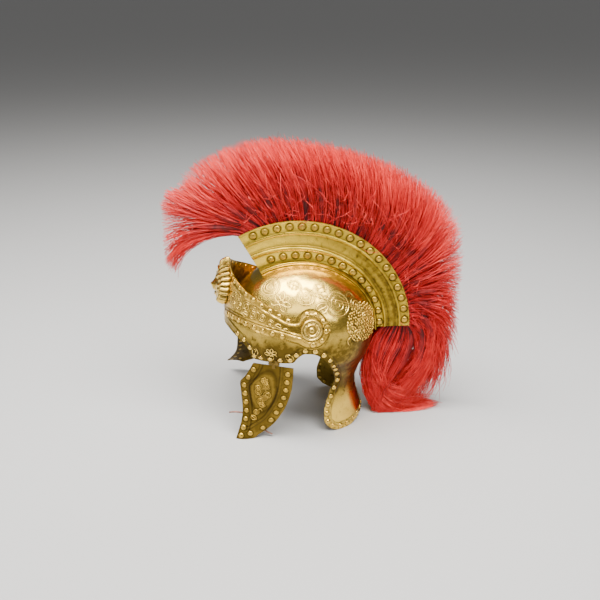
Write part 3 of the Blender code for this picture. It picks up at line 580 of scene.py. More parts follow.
def brass_finish(
    name, bright=BRIGHT_BRASS, brown=BROWN_BRASS, tarnish_and_shade=0.35, gloss=0.20, dents=1.0
):
    """A brass material with its own values of the shared wear and painted shade."""
    made, tree, shader = fresh_material(name)
    wear = put(
        tree, "ShaderNodeGroup", node_tree=worn_and_shaded_brass, Bright=(*bright, 1), Brown=(*brown, 1),
        Tarnish=tarnish_and_shade, Gloss=gloss, Dents=dents,
    ).outputs
    bump = put(tree, "ShaderNodeBump", Strength=0.6, Distance=0.0022, Height=wear["Height"])
    feed(
        tree, shader, Base_Color=wear["Colour"], Roughness=wear["Roughness"],
        Normal=bump.outputs["Normal"], Metallic=1.0,
    )
    return made


# The bowl's brown is very dark, for the painted shade on its lower part.
bowl_brass = brass_finish(
    "bowl_brass", bright=(0.90, 0.60, 0.10), brown=(0.11, 0.068, 0.010), tarnish_and_shade=0.4, gloss=0.15
)


def bowl_columns():
    """Columns of (angle, height) over half of the bowl, from its edge to just below the crown."""

    def climb(angle, low):
        start = low - BOWL_BASE
        if start >= 0:
            start = BOWL_RISE * math.asin(start / BOWL_RISE)
        ways = (np.arange(BOWL_UP_ROWS) / BOWL_UP_ROWS) ** UP_CROWDING
        way = start + (BOWL_RISE * math.pi / 2 - start) * ways
        heights = BOWL_BASE + np.where(way < 0, way, BOWL_RISE * np.sin(way / BOWL_RISE))
        return np.stack([np.full(BOWL_UP_ROWS, angle), heights], axis=1)

    shares = np.arange(BOWL_FRONT_COLUMNS) / BOWL_FRONT_COLUMNS
    rim = along_outline(FACE_RIM, shares)
    columns = [climb(float(angle_of(*point)), point[1]) for point in rim]
    ks = (np.arange(BOWL_NECK_COLUMNS) / (BOWL_NECK_COLUMNS - 1)) ** NECK_CROWDING
    vs = (np.arange(BOWL_NECK_ROWS + 1) / BOWL_NECK_ROWS) ** DOWN_CROWDING
    edge, rim = (
        np.stack([angle_of(*flat.T), flat[:, 1]], axis=1)
        for flat in (along_outline(NECK_EDGE, 1 - vs), along_outline(NECK_RIM, ks))
    )
    waist_angle, waist = edge[-1]
    for k, foot in zip(ks, rim):
        top = np.array((waist_angle + (math.pi - waist_angle) * k, waist))
        low = []
        for side, v in zip(edge[:-1], vs[:-1]):
            rear = np.array((math.pi, rim[-1][1] + (waist - rim[-1][1]) * v))
            corners = (1 - k) * ((1 - v) * rim[0] + v * edge[-1])
            corners = corners + k * ((1 - v) * rim[-1] + v * np.array((math.pi, waist)))
            low.append((1 - v) * foot + v * top + (1 - k) * side + k * rear - corners)
        columns.append(np.concatenate([low, climb(top[0], waist)]))
    return columns


def both_sides(points):
    """The same points on the helmet's two sides."""
    return np.concatenate([points, points * [1, -1, 1]])


half_columns = bowl_columns()
ring = half_columns + [c * [-1, 1] for c in half_columns[-2:0:-1]]
starts = np.concatenate([[0], np.cumsum([len(c) for c in ring])])
bowl_points = np.concatenate([bowl_point(c[:, 0], c[:, 1]) for c in ring] + [[(0, 0, CROWN)]])
crown = len(bowl_points) - 1
quads = []
for i, column in enumerate(ring):
    n = (i + 1) % len(ring)
    tall = min(len(column), len(ring[n]))
    a, b = starts[i] + len(column) - tall, starts[n] + len(ring[n]) - tall
    j = np.arange(tall - 1)
    quads.append(np.stack([a + j, a + j + 1, b + j + 1, b + j], axis=1))
    quads.append([[a + tall - 1, crown, crown, b + tall - 1]])
quads = np.concatenate(quads)
rim_shares = np.linspace(0, 1, RIM_MARKS)
rim_flat = np.concatenate([
    along_outline(outline, rim_shares) for outline in (FACE_RIM, NECK_EDGE, NECK_RIM)
])
rim_gap = away_from(bowl_points, both_sides(bowl_point(angle_of(*rim_flat.T), rim_flat[:, 1])))
bowl_relief = EDGE_ROLL * hill(rim_gap, 0.0006, EDGE_ROLL_WIDTH)
bowl_relief += INNER_RIDGE * hill(rim_gap, BORDER_WIDTH, INNER_RIDGE_WIDTH)
bowl_hollow = 0.75 * hill(rim_gap, BORDER_WIDTH - 0.0024, 0.0013)
bowl_hollow += 0.6 * hill(rim_gap, BORDER_WIDTH + 0.0022, 0.0010)
bowl = sheet_piece("bowl_sheet", bowl_points, quads, bowl_relief, bowl_hollow, bowl_brass)
# The bowl's lower part turns brown and dark: painted shade, standing in for the darker reflection
# there.
painted_low_shade = smoothly(-bowl_points[:, 2], -0.190, -0.150) * smoothly(bowl_points[:, 2], 0.035, 0.080)
mark_brown_and_shade(bowl, painted_low_shade)
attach(bowl, "helmet")
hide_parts("skull_bowl")


# The round-headed studs along the bowl's edge, and the way in which every stud here is made.
STUD_RADIUS, STUD_HEIGHT, STUD_UNEVENNESS = 0.0040, 0.42, 0.1
STUD_STEP, STUD_INSET = 0.0150, 0.0048
STUD_SIDES, STUD_RINGS = 10, 6
NUMBER, COUNT, FINISH = ("NodeSocketFloat", 0), ("NodeSocketInt", 0), ("NodeSocketMaterial", None)
SHAPE = {"Geometry": ("NodeSocketGeometry", None)}


def finished(tree, result, mesh, finish):
    """Ends a tree: the mesh is smooth, real and of this finish."""
    smooth = put(tree, "GeometryNodeSetShadeSmooth", Geometry=mesh).outputs["Geometry"]
    real = put(tree, "GeometryNodeRealizeInstances", Geometry=smooth).outputs["Geometry"]
    coat = put(tree, "GeometryNodeSetMaterial", Geometry=real, Material=finish)
    feed(tree, result, Geometry=coat.outputs["Geometry"])
    return tree


def grown(name, points, edges, marks, tree, **values):
    """The plain mesh that a tree grows on these points, which are in the helmet's own frame."""
    mesh = bpy.data.meshes.new(name)
    mesh.from_pydata((np.asarray(points) + HELMET_MIDDLE).tolist(), edges, [])
    for word, given in marks.items():
        mark(mesh, word, given, "FLOAT" if np.ndim(given) == 1 else "FLOAT_VECTOR")
    made = linked(name, mesh)
    growth = made.modifiers.new("growth", "NODES")
    growth.node_group = tree
    for socket in tree.interface.items_tree:
        if socket.in_out == "INPUT" and socket.name in values:
            growth[socket.identifier] = values[socket.name]
    return plain_mesh(made)


def stud_tree():
    """Seats one round-headed stud on every point, turned along the surface's normal."""
    sockets = {"Radius": NUMBER, "Height": NUMBER, "Seed": COUNT, "Finish": FINISH}
    tree, given, result = group_of("stud_row", "GeometryNodeTree", {**SHAPE, **sockets}, SHAPE)
    ball = put(
        tree, "GeometryNodeMeshUVSphere", Segments=STUD_SIDES, Rings=STUD_RINGS,
        Radius=given["Radius"],
    ).outputs["Mesh"]
    flat = put(tree, "ShaderNodeCombineXYZ", X=1, Y=1, Z=given["Height"]).outputs["Vector"]
    press = put(tree, "GeometryNodeTransform", Geometry=ball, Scale=flat).outputs["Geometry"]
    normal = put(tree, "GeometryNodeInputNamedAttribute", data_type="FLOAT_VECTOR", Name="seat")
    aim = put(
        tree, "FunctionNodeAlignRotationToVector", axis="Z", Vector=normal.outputs["Attribute"]
    ).outputs["Rotation"]
    uneven = put(tree, "FunctionNodeRandomValue", data_type="FLOAT", Seed=given["Seed"])
    uneven.inputs[2].default_value = 1 - STUD_UNEVENNESS
    uneven.inputs[3].default_value = 1 + STUD_UNEVENNESS
    seats = put(tree, "GeometryNodeMeshToPoints", Mesh=given["Geometry"]).outputs["Points"]
    spread = put(
        tree, "GeometryNodeInstanceOnPoints", Points=seats, Instance=press, Rotation=aim,
        Scale=uneven.outputs[1],
    )
    return finished(tree, result, spread.outputs["Instances"], given["Finish"])


stud_row = stud_tree()
stud_brass = brass_finish(
    "stud_brass", bright=(0.84, 0.55, 0.095), tarnish_and_shade=0.35, gloss=0.2, dents=0.2
)
# A darker finish for studs and lines: painted shade, for the dark tops of the crest's studs and
# for the cheek guards, which hang in shade.
shaded_stud_brass = brass_finish(
    "shaded_stud_brass", bright=(0.60, 0.38, 0.05), tarnish_and_shade=0.8, gloss=0.24, dents=0.2
)


def studs(
    name, seats, normals, body, radius=STUD_RADIUS, height=STUD_HEIGHT, seed=3, finish=stud_brass
):
    """A row of studs on these seats."""
    made = grown(
        name, seats, [], {"seat": normals}, stud_row, Radius=radius, Height=height, Seed=seed,
        Finish=finish,
    )
    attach(made, body)


def surface_normals(place, us, vs, outward):
    """Normals of a surface at these two numbers, turned to the outward side."""
    step = 1e-4
    du = place(us + step, vs) - place(us - step, vs)
    dv = place(us, vs + step) - place(us, vs - step)
    normals = np.cross(du, dv)
    normals /= np.maximum(np.linalg.norm(normals, axis=-1, keepdims=True), 1e-12)
    return normals * np.where((normals * outward).sum(axis=-1, keepdims=True) < 0, -1, 1)


def spaced(line, step):
    """Marks at even steps along a line of points."""
    steps = np.linalg.norm(np.diff(line[:, :3], axis=0), axis=1)
    ways = np.concatenate([[0], np.cumsum(steps)])
    count = max(2, round(ways[-1] / step))
    marks = (np.arange(count) + 0.5) * ways[-1] / count
    return np.stack([np.interp(marks, ways, line[:, k]) for k in range(line.shape[1])], axis=1)


def inset_seats(flat, inset, step):
    """Seats and normals inside the sheet's edge, at an even step, on both sides."""
    line = bowl_point(angle_of(*flat.T), flat[:, 1])
    normal = surface_normals(bowl_point, angle_of(*flat.T), flat[:, 1], line - [0, 0, 0.05])
    inward = np.cross(np.gradient(line, axis=0), normal)
    inward /= np.linalg.norm(inward, axis=1, keepdims=True)
    inward *= np.sign(((bowl_point(np.pi * 0.8, 0.13) - line) * inward).sum(axis=1).mean())
    both = spaced(np.concatenate([line + inward * inset, normal], axis=1), step)
    return both_sides(both[:, :3]), both_sides(both[:, 3:])


ear_flat = along_outline(FACE_RIM, np.linspace(0.09, 1, 400))
neck_shares = np.linspace(0, 1, 200)
neck_flat = np.concatenate([
    along_outline(NECK_EDGE, neck_shares), along_outline(NECK_RIM, neck_shares)[1:]
])
for name, flat in (("ear_arch_studs", ear_flat), ("neck_guard_studs", neck_flat)):
    seats, normals = inset_seats(flat, STUD_INSET, STUD_STEP)
    studs(name, seats, normals, "helmet")
    # A dark ring round each stud on the bowl: painted shade at the stud's foot.
    shade_and_dirt_round(bowl, seats, STUD_RADIUS * 1.25, 0.0009, 0.7)


# The chased scrolls on the skull, and the way in which every chased line here is made.
LINE_RADIUS, LINE_SIDES = 0.0010, 5


def line_tree():
    """Turns lines of points into chased lines: round wires half sunk in the sheet."""
    sockets = {"Radius": NUMBER, "Sides": COUNT, "Finish": FINISH}
    tree, given, result = group_of("chased_line", "GeometryNodeTree", {**SHAPE, **sockets}, SHAPE)
    thick = put(
        tree, "GeometryNodeInputNamedAttribute", data_type="FLOAT", Name="thick"
    ).outputs["Attribute"]
    path = put(tree, "GeometryNodeMeshToCurve", Mesh=given["Geometry"]).outputs["Curve"]
    wide = put(tree, "GeometryNodeSetCurveRadius", Curve=path, Radius=thick).outputs["Curve"]
    outline = put(
        tree, "GeometryNodeCurvePrimitiveCircle", Resolution=given["Sides"], Radius=given["Radius"]
    ).outputs["Curve"]
    sweep = put(
        tree, "GeometryNodeCurveToMesh", Curve=wide, Profile_Curve=outline, Scale=thick,
        Fill_Caps=True,
    )
    return finished(tree, result, sweep.outputs["Mesh"], given["Finish"])


chased_line = line_tree()


def wires(name, lines, thickness, finish, radius, sides, **tags):
    """Lines of points as wires. thickness has one share of the radius for every point."""
    starts = np.cumsum([0] + [len(line) for line in lines])
    runs = zip(starts[:-1], starts[1:])
    edges = [(at, at + 1) for first, last in runs for at in range(first, last - 1)]
    marks = {"thick": thickness, **tags}
    return grown(
        name, np.concatenate(lines), edges, marks, chased_line, Radius=radius, Sides=sides,
        Finish=finish,
    )


def turning(angle):
    """The matrix that turns flat points."""
    return np.array([(math.cos(angle), math.sin(angle)), (-math.sin(angle), math.cos(angle))])


def motif(kind, size):
    """Lines of a chased motif, flat, about its middle: each is an array of (across, up)."""
    turns = np.linspace(0, math.tau, 40)
    circle = np.stack([np.cos(turns), np.sin(turns)], axis=1)
    way = np.linspace(0, 1, 24)
    lines = []
    if kind in ("circle", "eye"):
        lines += [circle]
    if kind == "eye":
        lines += [circle * 0.55, circle * 0.18]
    if kind in ("scroll", "spiral"):
        grow = np.linspace(0.12, 1, 60)
        whirl = np.linspace(0, 2.2 * math.tau, 60)
        lines += [np.stack([np.cos(whirl) * grow, np.sin(whirl) * grow], axis=1)]
    if kind == "scroll":
        lines += [lines[-1][-1] + np.stack([way * 1.3, 0.55 * np.sin(way * 3.1)], axis=1)]
    if kind == "flower":
        lines += [circle * 0.22]
        petal = np.stack([0.62 + 0.36 * np.cos(turns), 0.22 * np.sin(turns)], axis=1)
        lines += [petal @ turning(math.tau * number / 7) for number in range(7)]
    if kind == "leaf":
        swell = 0.32 * np.sin(way * math.pi) ** 0.8
        lines += [2 * np.stack([way - 0.5, side * swell], axis=1) for side in (1, -1)]
        lines += [2 * np.stack([way * 0.8 - 0.4, 0 * way], axis=1)]
    return [line * size for line in lines]


def laid_on(place, outward, u, v, kind, size, lean, sink):
    """A motif's lines laid on a surface about the place (u, v), sunk a little in the sheet."""
    step = 1e-4
    at = place(u, v)
    along = (place(u + step, v) - at) / step
    up = (place(u, v + step) - at) / step
    skew = np.array([[along @ along, along @ up], [along @ up, up @ up]])
    first = along / np.linalg.norm(along)
    second = up - first * (up @ first)
    second /= np.linalg.norm(second)
    laid = []
    for line in motif(kind, size):
        flat = line @ turning(math.radians(lean))
        wish = flat[:, :1] * first + flat[:, 1:] * second
        change = np.linalg.solve(skew, np.stack([wish @ along, wish @ up]))
        us, vs = u + change[0], v + change[1]
        points = place(us, vs)
        laid.append(points - surface_normals(place, us, vs, outward(points)) * sink)
    return laid


def from_middle(points):
    """Directions out of the helmet, to tell a surface's outer side."""
    return points - np.array([0, 0, 0.15])


def on_surface(place, us, vs):
    """Points of a surface, each with its outward normal after it."""
    points = place(us, vs)
    normals = surface_normals(place, us, vs, from_middle(points))
    return np.concatenate([points, normals], axis=1)


line_brass = brass_finish(
    "line_brass", bright=(0.84, 0.56, 0.11), tarnish_and_shade=0.25, gloss=0.22, dents=0.3
)


def chased(name, lines, body, radius=LINE_RADIUS, finish=line_brass):
    """Chased lines on one body, thinner at their ends."""
    ways = np.concatenate([np.linspace(0.05, math.pi - 0.05, len(line)) for line in lines])
    made = wires(name, lines, 0.35 + 0.65 * np.sin(ways) ** 0.4, finish, radius, LINE_SIDES)
    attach(made, body)


# Motifs on the skull: kind, angle round the bowl in degrees, height, size, turn in degrees.
SKULL_MOTIFS = [
    ("circle", 52, 0.238, 0.0140, 0), ("spiral", 52, 0.238, 0.0110, 30),
    ("flower", 70, 0.222, 0.0150, 10), ("eye", 93, 0.2295, 0.0125, 0),
    ("spiral", 122, 0.2155, 0.0150, 200), ("leaf", 106, 0.214, 0.0110, 20),
    ("scroll", 141, 0.208, 0.0110, -30), ("scroll", 148, 0.186, 0.0120, 120),
    ("flower", 65, 0.1460, 0.0100, 0), ("leaf", 80, 0.243, 0.0105, 160),
    ("leaf", 110, 0.238, 0.0110, 15), ("circle", 122, 0.2155, 0.0185, 0),
    ("leaf", 52, 0.1440, 0.0075, 60), ("leaf", 78, 0.1420, 0.0075, -40),
    ("scroll", 134, 0.1660, 0.0110, 70),
]
skull_lines = []
for side in (-1, 1):
    for kind, degrees, height, size, lean in SKULL_MOTIFS:
        skull_lines += laid_on(
            bowl_point, from_middle, side * math.radians(degrees), height, kind, size, side * lean,
            LINE_RADIUS * 0.4,
        )
    for drop in (0.0, 0.004):
        ways = np.linspace(96, 172, 60)
        lows = 0.237 - drop - 0.00036 * (ways - 96) ** 1.15
        lows -= 0.02 * np.maximum(0, (ways - 130) / 42) ** 2
        skull_lines.append(bowl_point(side * np.radians(ways), lows))
chased("skull_chasing", skull_lines, "helmet")
shade_and_dirt_round(bowl, np.concatenate(skull_lines), LINE_RADIUS * 1.5, 0.0011, 0.8)

# The matted ground behind the ear: hundreds of small punched dots between the scrolls.
DOT_RADIUS, DOT_HEIGHT, DOT_ACROSS_DEG, DOT_UP = 0.0016, 0.55, 2.7, 0.0040
GROUND_MIDDLE, GROUND_REACH = (145, 0.180), (21, 0.029)
dots = []
for row in range(-8, 9):
    for step in range(-9, 10):
        across = (step + 0.5 * (row % 2)) * DOT_ACROSS_DEG
        if math.hypot(across / GROUND_REACH[0], row * DOT_UP / GROUND_REACH[1]) < 1:
            dots.append((math.radians(GROUND_MIDDLE[0] + across), GROUND_MIDDLE[1] + row * DOT_UP))
dots = np.array(dots)
dots += np.random.default_rng(4).normal(0, 1, dots.shape) * [0.006, 0.0005]
dots = on_surface(bowl_point, *dots.T)
dot_seats, dot_normals = both_sides(dots[:, :3]), both_sides(dots[:, 3:])
studs("matted_ground", dot_seats, dot_normals, "helmet", DOT_RADIUS, DOT_HEIGHT, seed=5)
shade_and_dirt_round(bowl, dot_seats, DOT_RADIUS * 1.3, 0.0007, 1.0)


# The brow plate: a second sheet, embossed, that stands over the brow and runs back to the
# ears, where it ends in a round lobe under each boss. Studs follow its upper and lower edge.
PLATE_GAP, PLATE_LEAN = 0.0008, 0.096
PLATE_UPRIGHT_DEG, PLATE_HUG_DEG = 40, 85
LOBE_DEG, LOBE_HEIGHT, LOBE_RADIUS = 95.6, 0.187, 0.029
PLATE_EDGES = np.array([
    (0, 1.019, 0.677), (12, 0.986, 0.681), (23, 0.954, 0.696), (34, 0.923, 0.697),
    (46, 0.886, 0.690), (58, 0.842, 0.677), (70, 0.804, 0.662), (82, 0.772, 0.639),
    (96, 0.772, 0.610),
]) * [1, CROWN, CROWN]
PLATE_HALF_COLUMNS, PLATE_ROWS = 180, 56
ROLL_HEIGHT, ROLL_WIDTH = 0.0007, 0.0013
PLATE_RIDGE_FOOT = 0.0018
# Ridges along the plate: the edge that each follows, how far off, how high, how wide.
PLATE_RIDGES = (
    ("top", 0.0092, 0.0011, 0.0011), ("bottom", 0.0102, 0.0012, 0.0011),
    ("bottom", 0.0140, 0.0010, 0.0010),
)


def plate_point(angle, height, out=SHEET):
    """A point on the outer face of the brow plate, or at another height over its seat."""
    angle, height = np.broadcast_arrays(np.asarray(angle, float), np.asarray(height, float))
    low, high = PLATE_EDGES[0, 2], PLATE_EDGES[0, 1]
    upright = dome_share(low) * (1 - PLATE_LEAN * (height - low) / (high - low))
    hug = smoothly(np.abs(np.degrees(angle)), PLATE_UPRIGHT_DEG, PLATE_HUG_DEG)
    share = upright * (1 - hug) + dome_share(height) * hug
    along, across = (side / 2 * share + PLATE_GAP + out for side in (BOWL_LENGTH, BOWL_WIDTH))
    return np.stack([-along * np.cos(angle), across * np.sin(angle), height], axis=-1)


def rolled_edge(gap):
    """The low roll along the edge of a plate, by how far each point is from the edge."""
    return ROLL_HEIGHT * hill(gap, 0.0004, ROLL_WIDTH)


def plate_edge(angle):
    """Bottom and top of the plate at an angle, with its round lobe."""
    degrees = np.abs(np.degrees(angle))
    top = flowing(degrees, PLATE_EDGES[:, 0], PLATE_EDGES[:, 1])
    bottom = flowing(degrees, PLATE_EDGES[:, 0], PLATE_EDGES[:, 2])
    away = np.radians(degrees - LOBE_DEG) * BOWL_LENGTH / 2
    reach = np.sqrt(np.maximum(0, LOBE_RADIUS**2 - away**2))
    high, low = LOBE_HEIGHT + reach, LOBE_HEIGHT - reach
    past = degrees > LOBE_DEG
    lobe_top = np.where(past, high, np.maximum(top, high))
    lobe_bottom = np.where(past, low, np.minimum(bottom, low))
    inside = np.abs(away) < LOBE_RADIUS
    return np.where(inside, lobe_bottom, bottom), np.where(inside, lobe_top, top)


plate_last = math.radians(LOBE_DEG) + 0.985 * LOBE_RADIUS / (BOWL_LENGTH / 2)
shares = np.linspace(-1, 1, 2 * PLATE_HALF_COLUMNS - 1)
angles = plate_last * np.sign(shares) * (1 - (1 - np.abs(shares)) ** 1.08)
bottoms, tops = plate_edge(angles)
rows = np.linspace(0, 1, PLATE_ROWS)
plate_heights = bottoms[:, None] + (tops - bottoms)[:, None] * rows
plate_angles = np.repeat(angles[:, None], PLATE_ROWS, axis=1)
plate_points = plate_point(plate_angles, plate_heights).reshape(-1, 3)
plate_gaps = {
    "top": away_from(plate_points, plate_point(angles, tops)),
    "bottom": away_from(plate_points, plate_point(angles, bottoms)),
}
plate_relief = sum(rolled_edge(gap) for gap in plate_gaps.values())
plate_hollow = np.zeros(len(plate_points))
for side, middle, high, wide in PLATE_RIDGES:
    plate_relief += high * hill(plate_gaps[side], middle, wide)
    for off in (-PLATE_RIDGE_FOOT, PLATE_RIDGE_FOOT):
        plate_hollow += 0.5 * hill(plate_gaps[side], middle + off, 0.0008)
plate_brass = brass_finish("plate_brass", bright=(0.72, 0.45, 0.065), tarnish_and_shade=0.5, gloss=0.2)
plate = sheet_piece(
    "brow_plate_sheet", plate_points, net(len(angles), PLATE_ROWS), plate_relief, plate_hollow,
    plate_brass,
)
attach(plate, "helmet")
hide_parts("brow_plate")


def plate_row(first, last, inset, from_top, count=160):
    """Seats and normals along the plate's edge, between two angles, on one side."""
    angle = np.radians(np.linspace(first, last, count))
    low, high = plate_edge(angle)
    height = high - inset if from_top else low + inset
    return spaced(on_surface(plate_point, angle, height), STUD_STEP)


def lobe_row(first, last, radius):
    """Seats and normals round the lobe, between two turns from straight up."""
    turns = np.radians(np.arange(first, last, math.degrees(STUD_STEP / radius)))
    angle = math.radians(LOBE_DEG) + radius * np.sin(turns) / (BOWL_LENGTH / 2)
    return on_surface(plate_point, angle, LOBE_HEIGHT + radius * np.cos(turns))


seats = np.concatenate([
    plate_row(4, 82, 0.0046, True), plate_row(14, 78, 0.0052, False), lobe_row(-15, 195, 0.0225)
])
plate_seats, plate_normals = both_sides(seats[:, :3]), both_sides(seats[:, 3:])
studs("brow_plate_studs", plate_seats, plate_normals, "helmet")
# A dark ring round each stud on the plate: painted shade at the stud's foot.
shade_and_dirt_round(plate, plate_seats, STUD_RADIUS * 1.25, 0.0008, 0.7)

# Motifs on the plate's band: kind, angle in degrees, share of the band's height, size, turn.
PLATE_MOTIFS = [
    ("scroll", 19, 0.46, 0.0085, 10), ("spiral", 19, 0.74, 0.0080, 0),
    ("scroll", 27, 0.62, 0.0085, 90), ("spiral", 27, 0.38, 0.0070, 200),
    ("scroll", 35, 0.45, 0.0080, 190), ("spiral", 35, 0.70, 0.0070, 20),
    ("scroll", 43, 0.60, 0.0080, 240), ("leaf", 42, 0.37, 0.0065, 160),
    ("spiral", 50, 0.48, 0.0070, 60), ("scroll", 51, 0.70, 0.0060, 20),
    ("scroll", 58, 0.55, 0.0065, 20), ("spiral", 65, 0.50, 0.0055, 140),
    ("leaf", 71, 0.47, 0.0060, -20), ("leaf", 77, 0.42, 0.0060, -20),
]
plate_lines = []
for side in (-1, 1):
    for kind, degrees, share, size, lean in PLATE_MOTIFS:
        angle = math.radians(degrees)
        low, high = plate_edge(angle)
        plate_lines += laid_on(
            plate_point, from_middle, side * angle, float(low + (high - low) * share),
            kind, size, side * lean, LINE_RADIUS * 0.3,
        )
chased("brow_plate_chasing", plate_lines, "helmet", radius=0.0008)
shade_and_dirt_round(plate, np.concatenate(plate_lines), 0.0013, 0.0009, 0.75)


# The mask on the brow: a raised shell of thin brass in the shape of a lion's head, with a
# mane of short locks round it, set on the middle of the plate.
MASK_HEIGHT, MASK_WIDTH, MASK_DEPTH, MASK_CENTRE = 0.072, 0.056, 0.0205, 0.231
MASK_RINGS, MASK_SECTORS = 44, 208
SEAT_GAP = 0.0003
# Lumps and dents of the face: across, up, width, height, how high, on both sides of the nose.
MASK_LUMPS = [
    (0.00, -0.22, 0.26, 0.20, 0.24), (0.00, 0.04, 0.12, 0.28, 0.20),
    (0.00, -0.10, 0.14, 0.09, 0.14), (0.34, 0.30, 0.22, 0.09, 0.17),
    (0.46, -0.06, 0.20, 0.18, 0.10), (0.00, -0.58, 0.22, 0.12, 0.16),
    (0.00, 0.56, 0.22, 0.20, 0.06), (0.13, -0.31, 0.12, 0.09, 0.08),
    (0.30, 0.16, 0.17, 0.09, -0.16), (0.30, 0.16, 0.08, 0.05, 0.10),
    (0.00, -0.43, 0.24, 0.035, -0.18), (0.00, -0.28, 0.03, 0.10, -0.08),
    (0.56, 0.50, 0.11, 0.11, 0.14),
]
MANE_LOCKS, MANE_HEIGHT, MANE_SCALLOP = 26, 0.17, 0.055
INNER_LOCKS, INNER_HEIGHT = 20, 0.10
ring_radii = np.sin(np.linspace(0, math.pi / 2, MASK_RINGS + 1)[1:])
rings, sectors = np.meshgrid(ring_radii, np.arange(MASK_SECTORS), indexing="ij")
turns = math.tau * sectors / MASK_SECTORS
across = np.concatenate([[0], (rings * np.sin(turns)).ravel()])
up = np.concatenate([[0], (rings * np.cos(turns)).ravel()])
radius = np.hypot(across, up)
around = np.arctan2(across, up)
relief = 0.66 * np.sqrt(np.maximum(0, 1 - radius**3.2)) + 0.10
sway = MANE_LOCKS * around + 2.2 * (radius - 0.7)
relief += MANE_HEIGHT * (0.5 + 0.5 * np.cos(sway)) * hill(radius, 0.86, 0.09)
scallop = 1 + MANE_SCALLOP * np.cos(sway) * smoothly(radius, 0.80, 0.97)
inner_sway = INNER_LOCKS * around - 2.6 * (radius - 0.6)
inner_locks = hill(radius, 0.66, 0.07) * smoothly(up, -0.55, -0.2)
relief += INNER_HEIGHT * (0.5 + 0.5 * np.cos(inner_sway)) * inner_locks
for x, y, wide, tall, high in MASK_LUMPS:
    for side in ({1, -1} if x else {1}):
        relief += high * hill(across, side * x, wide) * hill(up, y, tall)


def on_plate(across, up, out):
    """A point of the mask over the plate."""
    angle = np.arcsin(across * MASK_WIDTH / 2 / (BOWL_WIDTH / 2))
    return plate_point(angle, MASK_CENTRE + up * MASK_HEIGHT / 2, SHEET + SEAT_GAP + out)


out = relief * MASK_DEPTH
hollow_back = np.maximum(0, out - 0.0016)
hollow_back[radius > 0.999] = 0
front = on_plate(across * scallop, up * scallop, out)
back = on_plate(across * scallop * 0.985, up * scallop * 0.985, hollow_back)
s = np.arange(MASK_SECTORS)
n = (s + 1) % MASK_SECTORS
mask_quads = np.concatenate([
    np.stack([0 * s, 1 + s, 1 + n, 0 * s], axis=1),
    net(MASK_RINGS, MASK_SECTORS, closed=True)[:, TURNED] + 1,
])
count = len(front)
last = count - MASK_SECTORS
rim_quads = np.stack([last + n, last + s, last + s + count, last + n + count], axis=1)
faces = np.concatenate([mask_quads, mask_quads[:, ::-1] + count, rim_quads]).tolist()
mask_brass = brass_finish(
    "mask_brass", bright=(0.84, 0.56, 0.11), tarnish_and_shade=0.3, gloss=0.22, dents=0.5
)
mask = mesh_piece("brow_mask", np.concatenate([front, back]), faces, mask_brass)
# A dark ring on the plate round the mask's edge: a painted shadow, where the mask stands over the
# plate.
rim_line = on_plate(across[-MASK_SECTORS:], up[-MASK_SECTORS:], np.zeros(MASK_SECTORS))
shade_and_dirt_round(plate, rim_line, 0.0002, 0.0032, 1.0)
grid = relief[1:].reshape(MASK_RINGS, MASK_SECTORS)
smooth_grid = sum(np.roll(grid, k, axis=1) for k in range(-5, 6)) / 11
dip = np.clip((smooth_grid - grid) * 16, 0, 1).ravel()
dip = np.maximum(dip, smoothly(-np.cos(sway[1:]), -0.1, 0.8) * smoothly(radius[1:], 0.82, 0.95))
dip = np.maximum(dip, 0.85 * hill(np.abs(across[1:]), 0.29, 0.10) * hill(up[1:], 0.13, 0.05))
dip = np.maximum(dip, 0.8 * hill(across[1:], 0, 0.24) * hill(up[1:], -0.43, 0.04))
mark(mask.data, "hollow", np.concatenate([[0], dip, np.full(count, 0.4)]))
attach(mask, "helmet")
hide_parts("lion_mask")


# The ear bosses: round repousse discs, one on each lobe of the brow plate, with a rolled
# rim, a ring of petals and a raised stud in the middle.
BOSS_RADIUS, BOSS_DEPTH = 0.016, 0.0045
BOSS_SIDES = 96
BOSS_PETALS = 12
# The boss from its edge to its middle: share of the radius, share of the depth, darkness.
BOSS_PROFILE = np.array([
    (1.00, 0.00, 0.2), (1.00, 0.22, 0.1), (0.98, 0.42, 0.0), (0.94, 0.56, 0.0), (0.90, 0.62, 0.0),
    (0.86, 0.56, 0.0), (0.82, 0.42, 0.6), (0.78, 0.34, 0.9), (0.74, 0.34, 0.5), (0.68, 0.40, 0.0),
    (0.62, 0.40, 0.0), (0.58, 0.42, 0.6), (0.55, 0.60, 0.0), (0.52, 0.70, 0.0), (0.48, 0.62, 0.0),
    (0.44, 0.44, 0.8), (0.38, 0.40, 0.6), (0.30, 0.42, 0.5), (0.26, 0.62, 0.0), (0.20, 0.88, 0.0),
    (0.12, 0.97, 0.0), (0.05, 1.00, 0.0),
])
boss_angle = math.radians(LOBE_DEG)
boss_seat = plate_point(boss_angle, LOBE_HEIGHT)
both_ways = np.array([1, -1])
boss_up = -np.diff(plate_point(boss_angle, LOBE_HEIGHT + BOSS_RADIUS * both_ways), axis=0)[0]
boss_on = -np.diff(plate_point(boss_angle + 0.1 * both_ways, LOBE_HEIGHT), axis=0)[0]
boss_up /= np.linalg.norm(boss_up)
boss_out = np.cross(boss_on, boss_up)
boss_out /= np.linalg.norm(boss_out)
boss_out *= np.sign(boss_out[1])
boss_on = np.cross(boss_up, boss_out)
turns = math.tau * np.arange(BOSS_SIDES) / BOSS_SIDES
radii, depths, darkness = BOSS_PROFILE.T
petal = 0.10 * np.cos(BOSS_PETALS * turns)[None, :] * hill(radii, 0.68, 0.08)[:, None]
shape = np.stack(
    [
        radii[:, None] * np.cos(turns) * BOSS_RADIUS, radii[:, None] * np.sin(turns) * BOSS_RADIUS,
        (depths[:, None] + petal) * BOSS_DEPTH,
    ],
    axis=-1,
) @ np.array([boss_on, boss_up, boss_out])
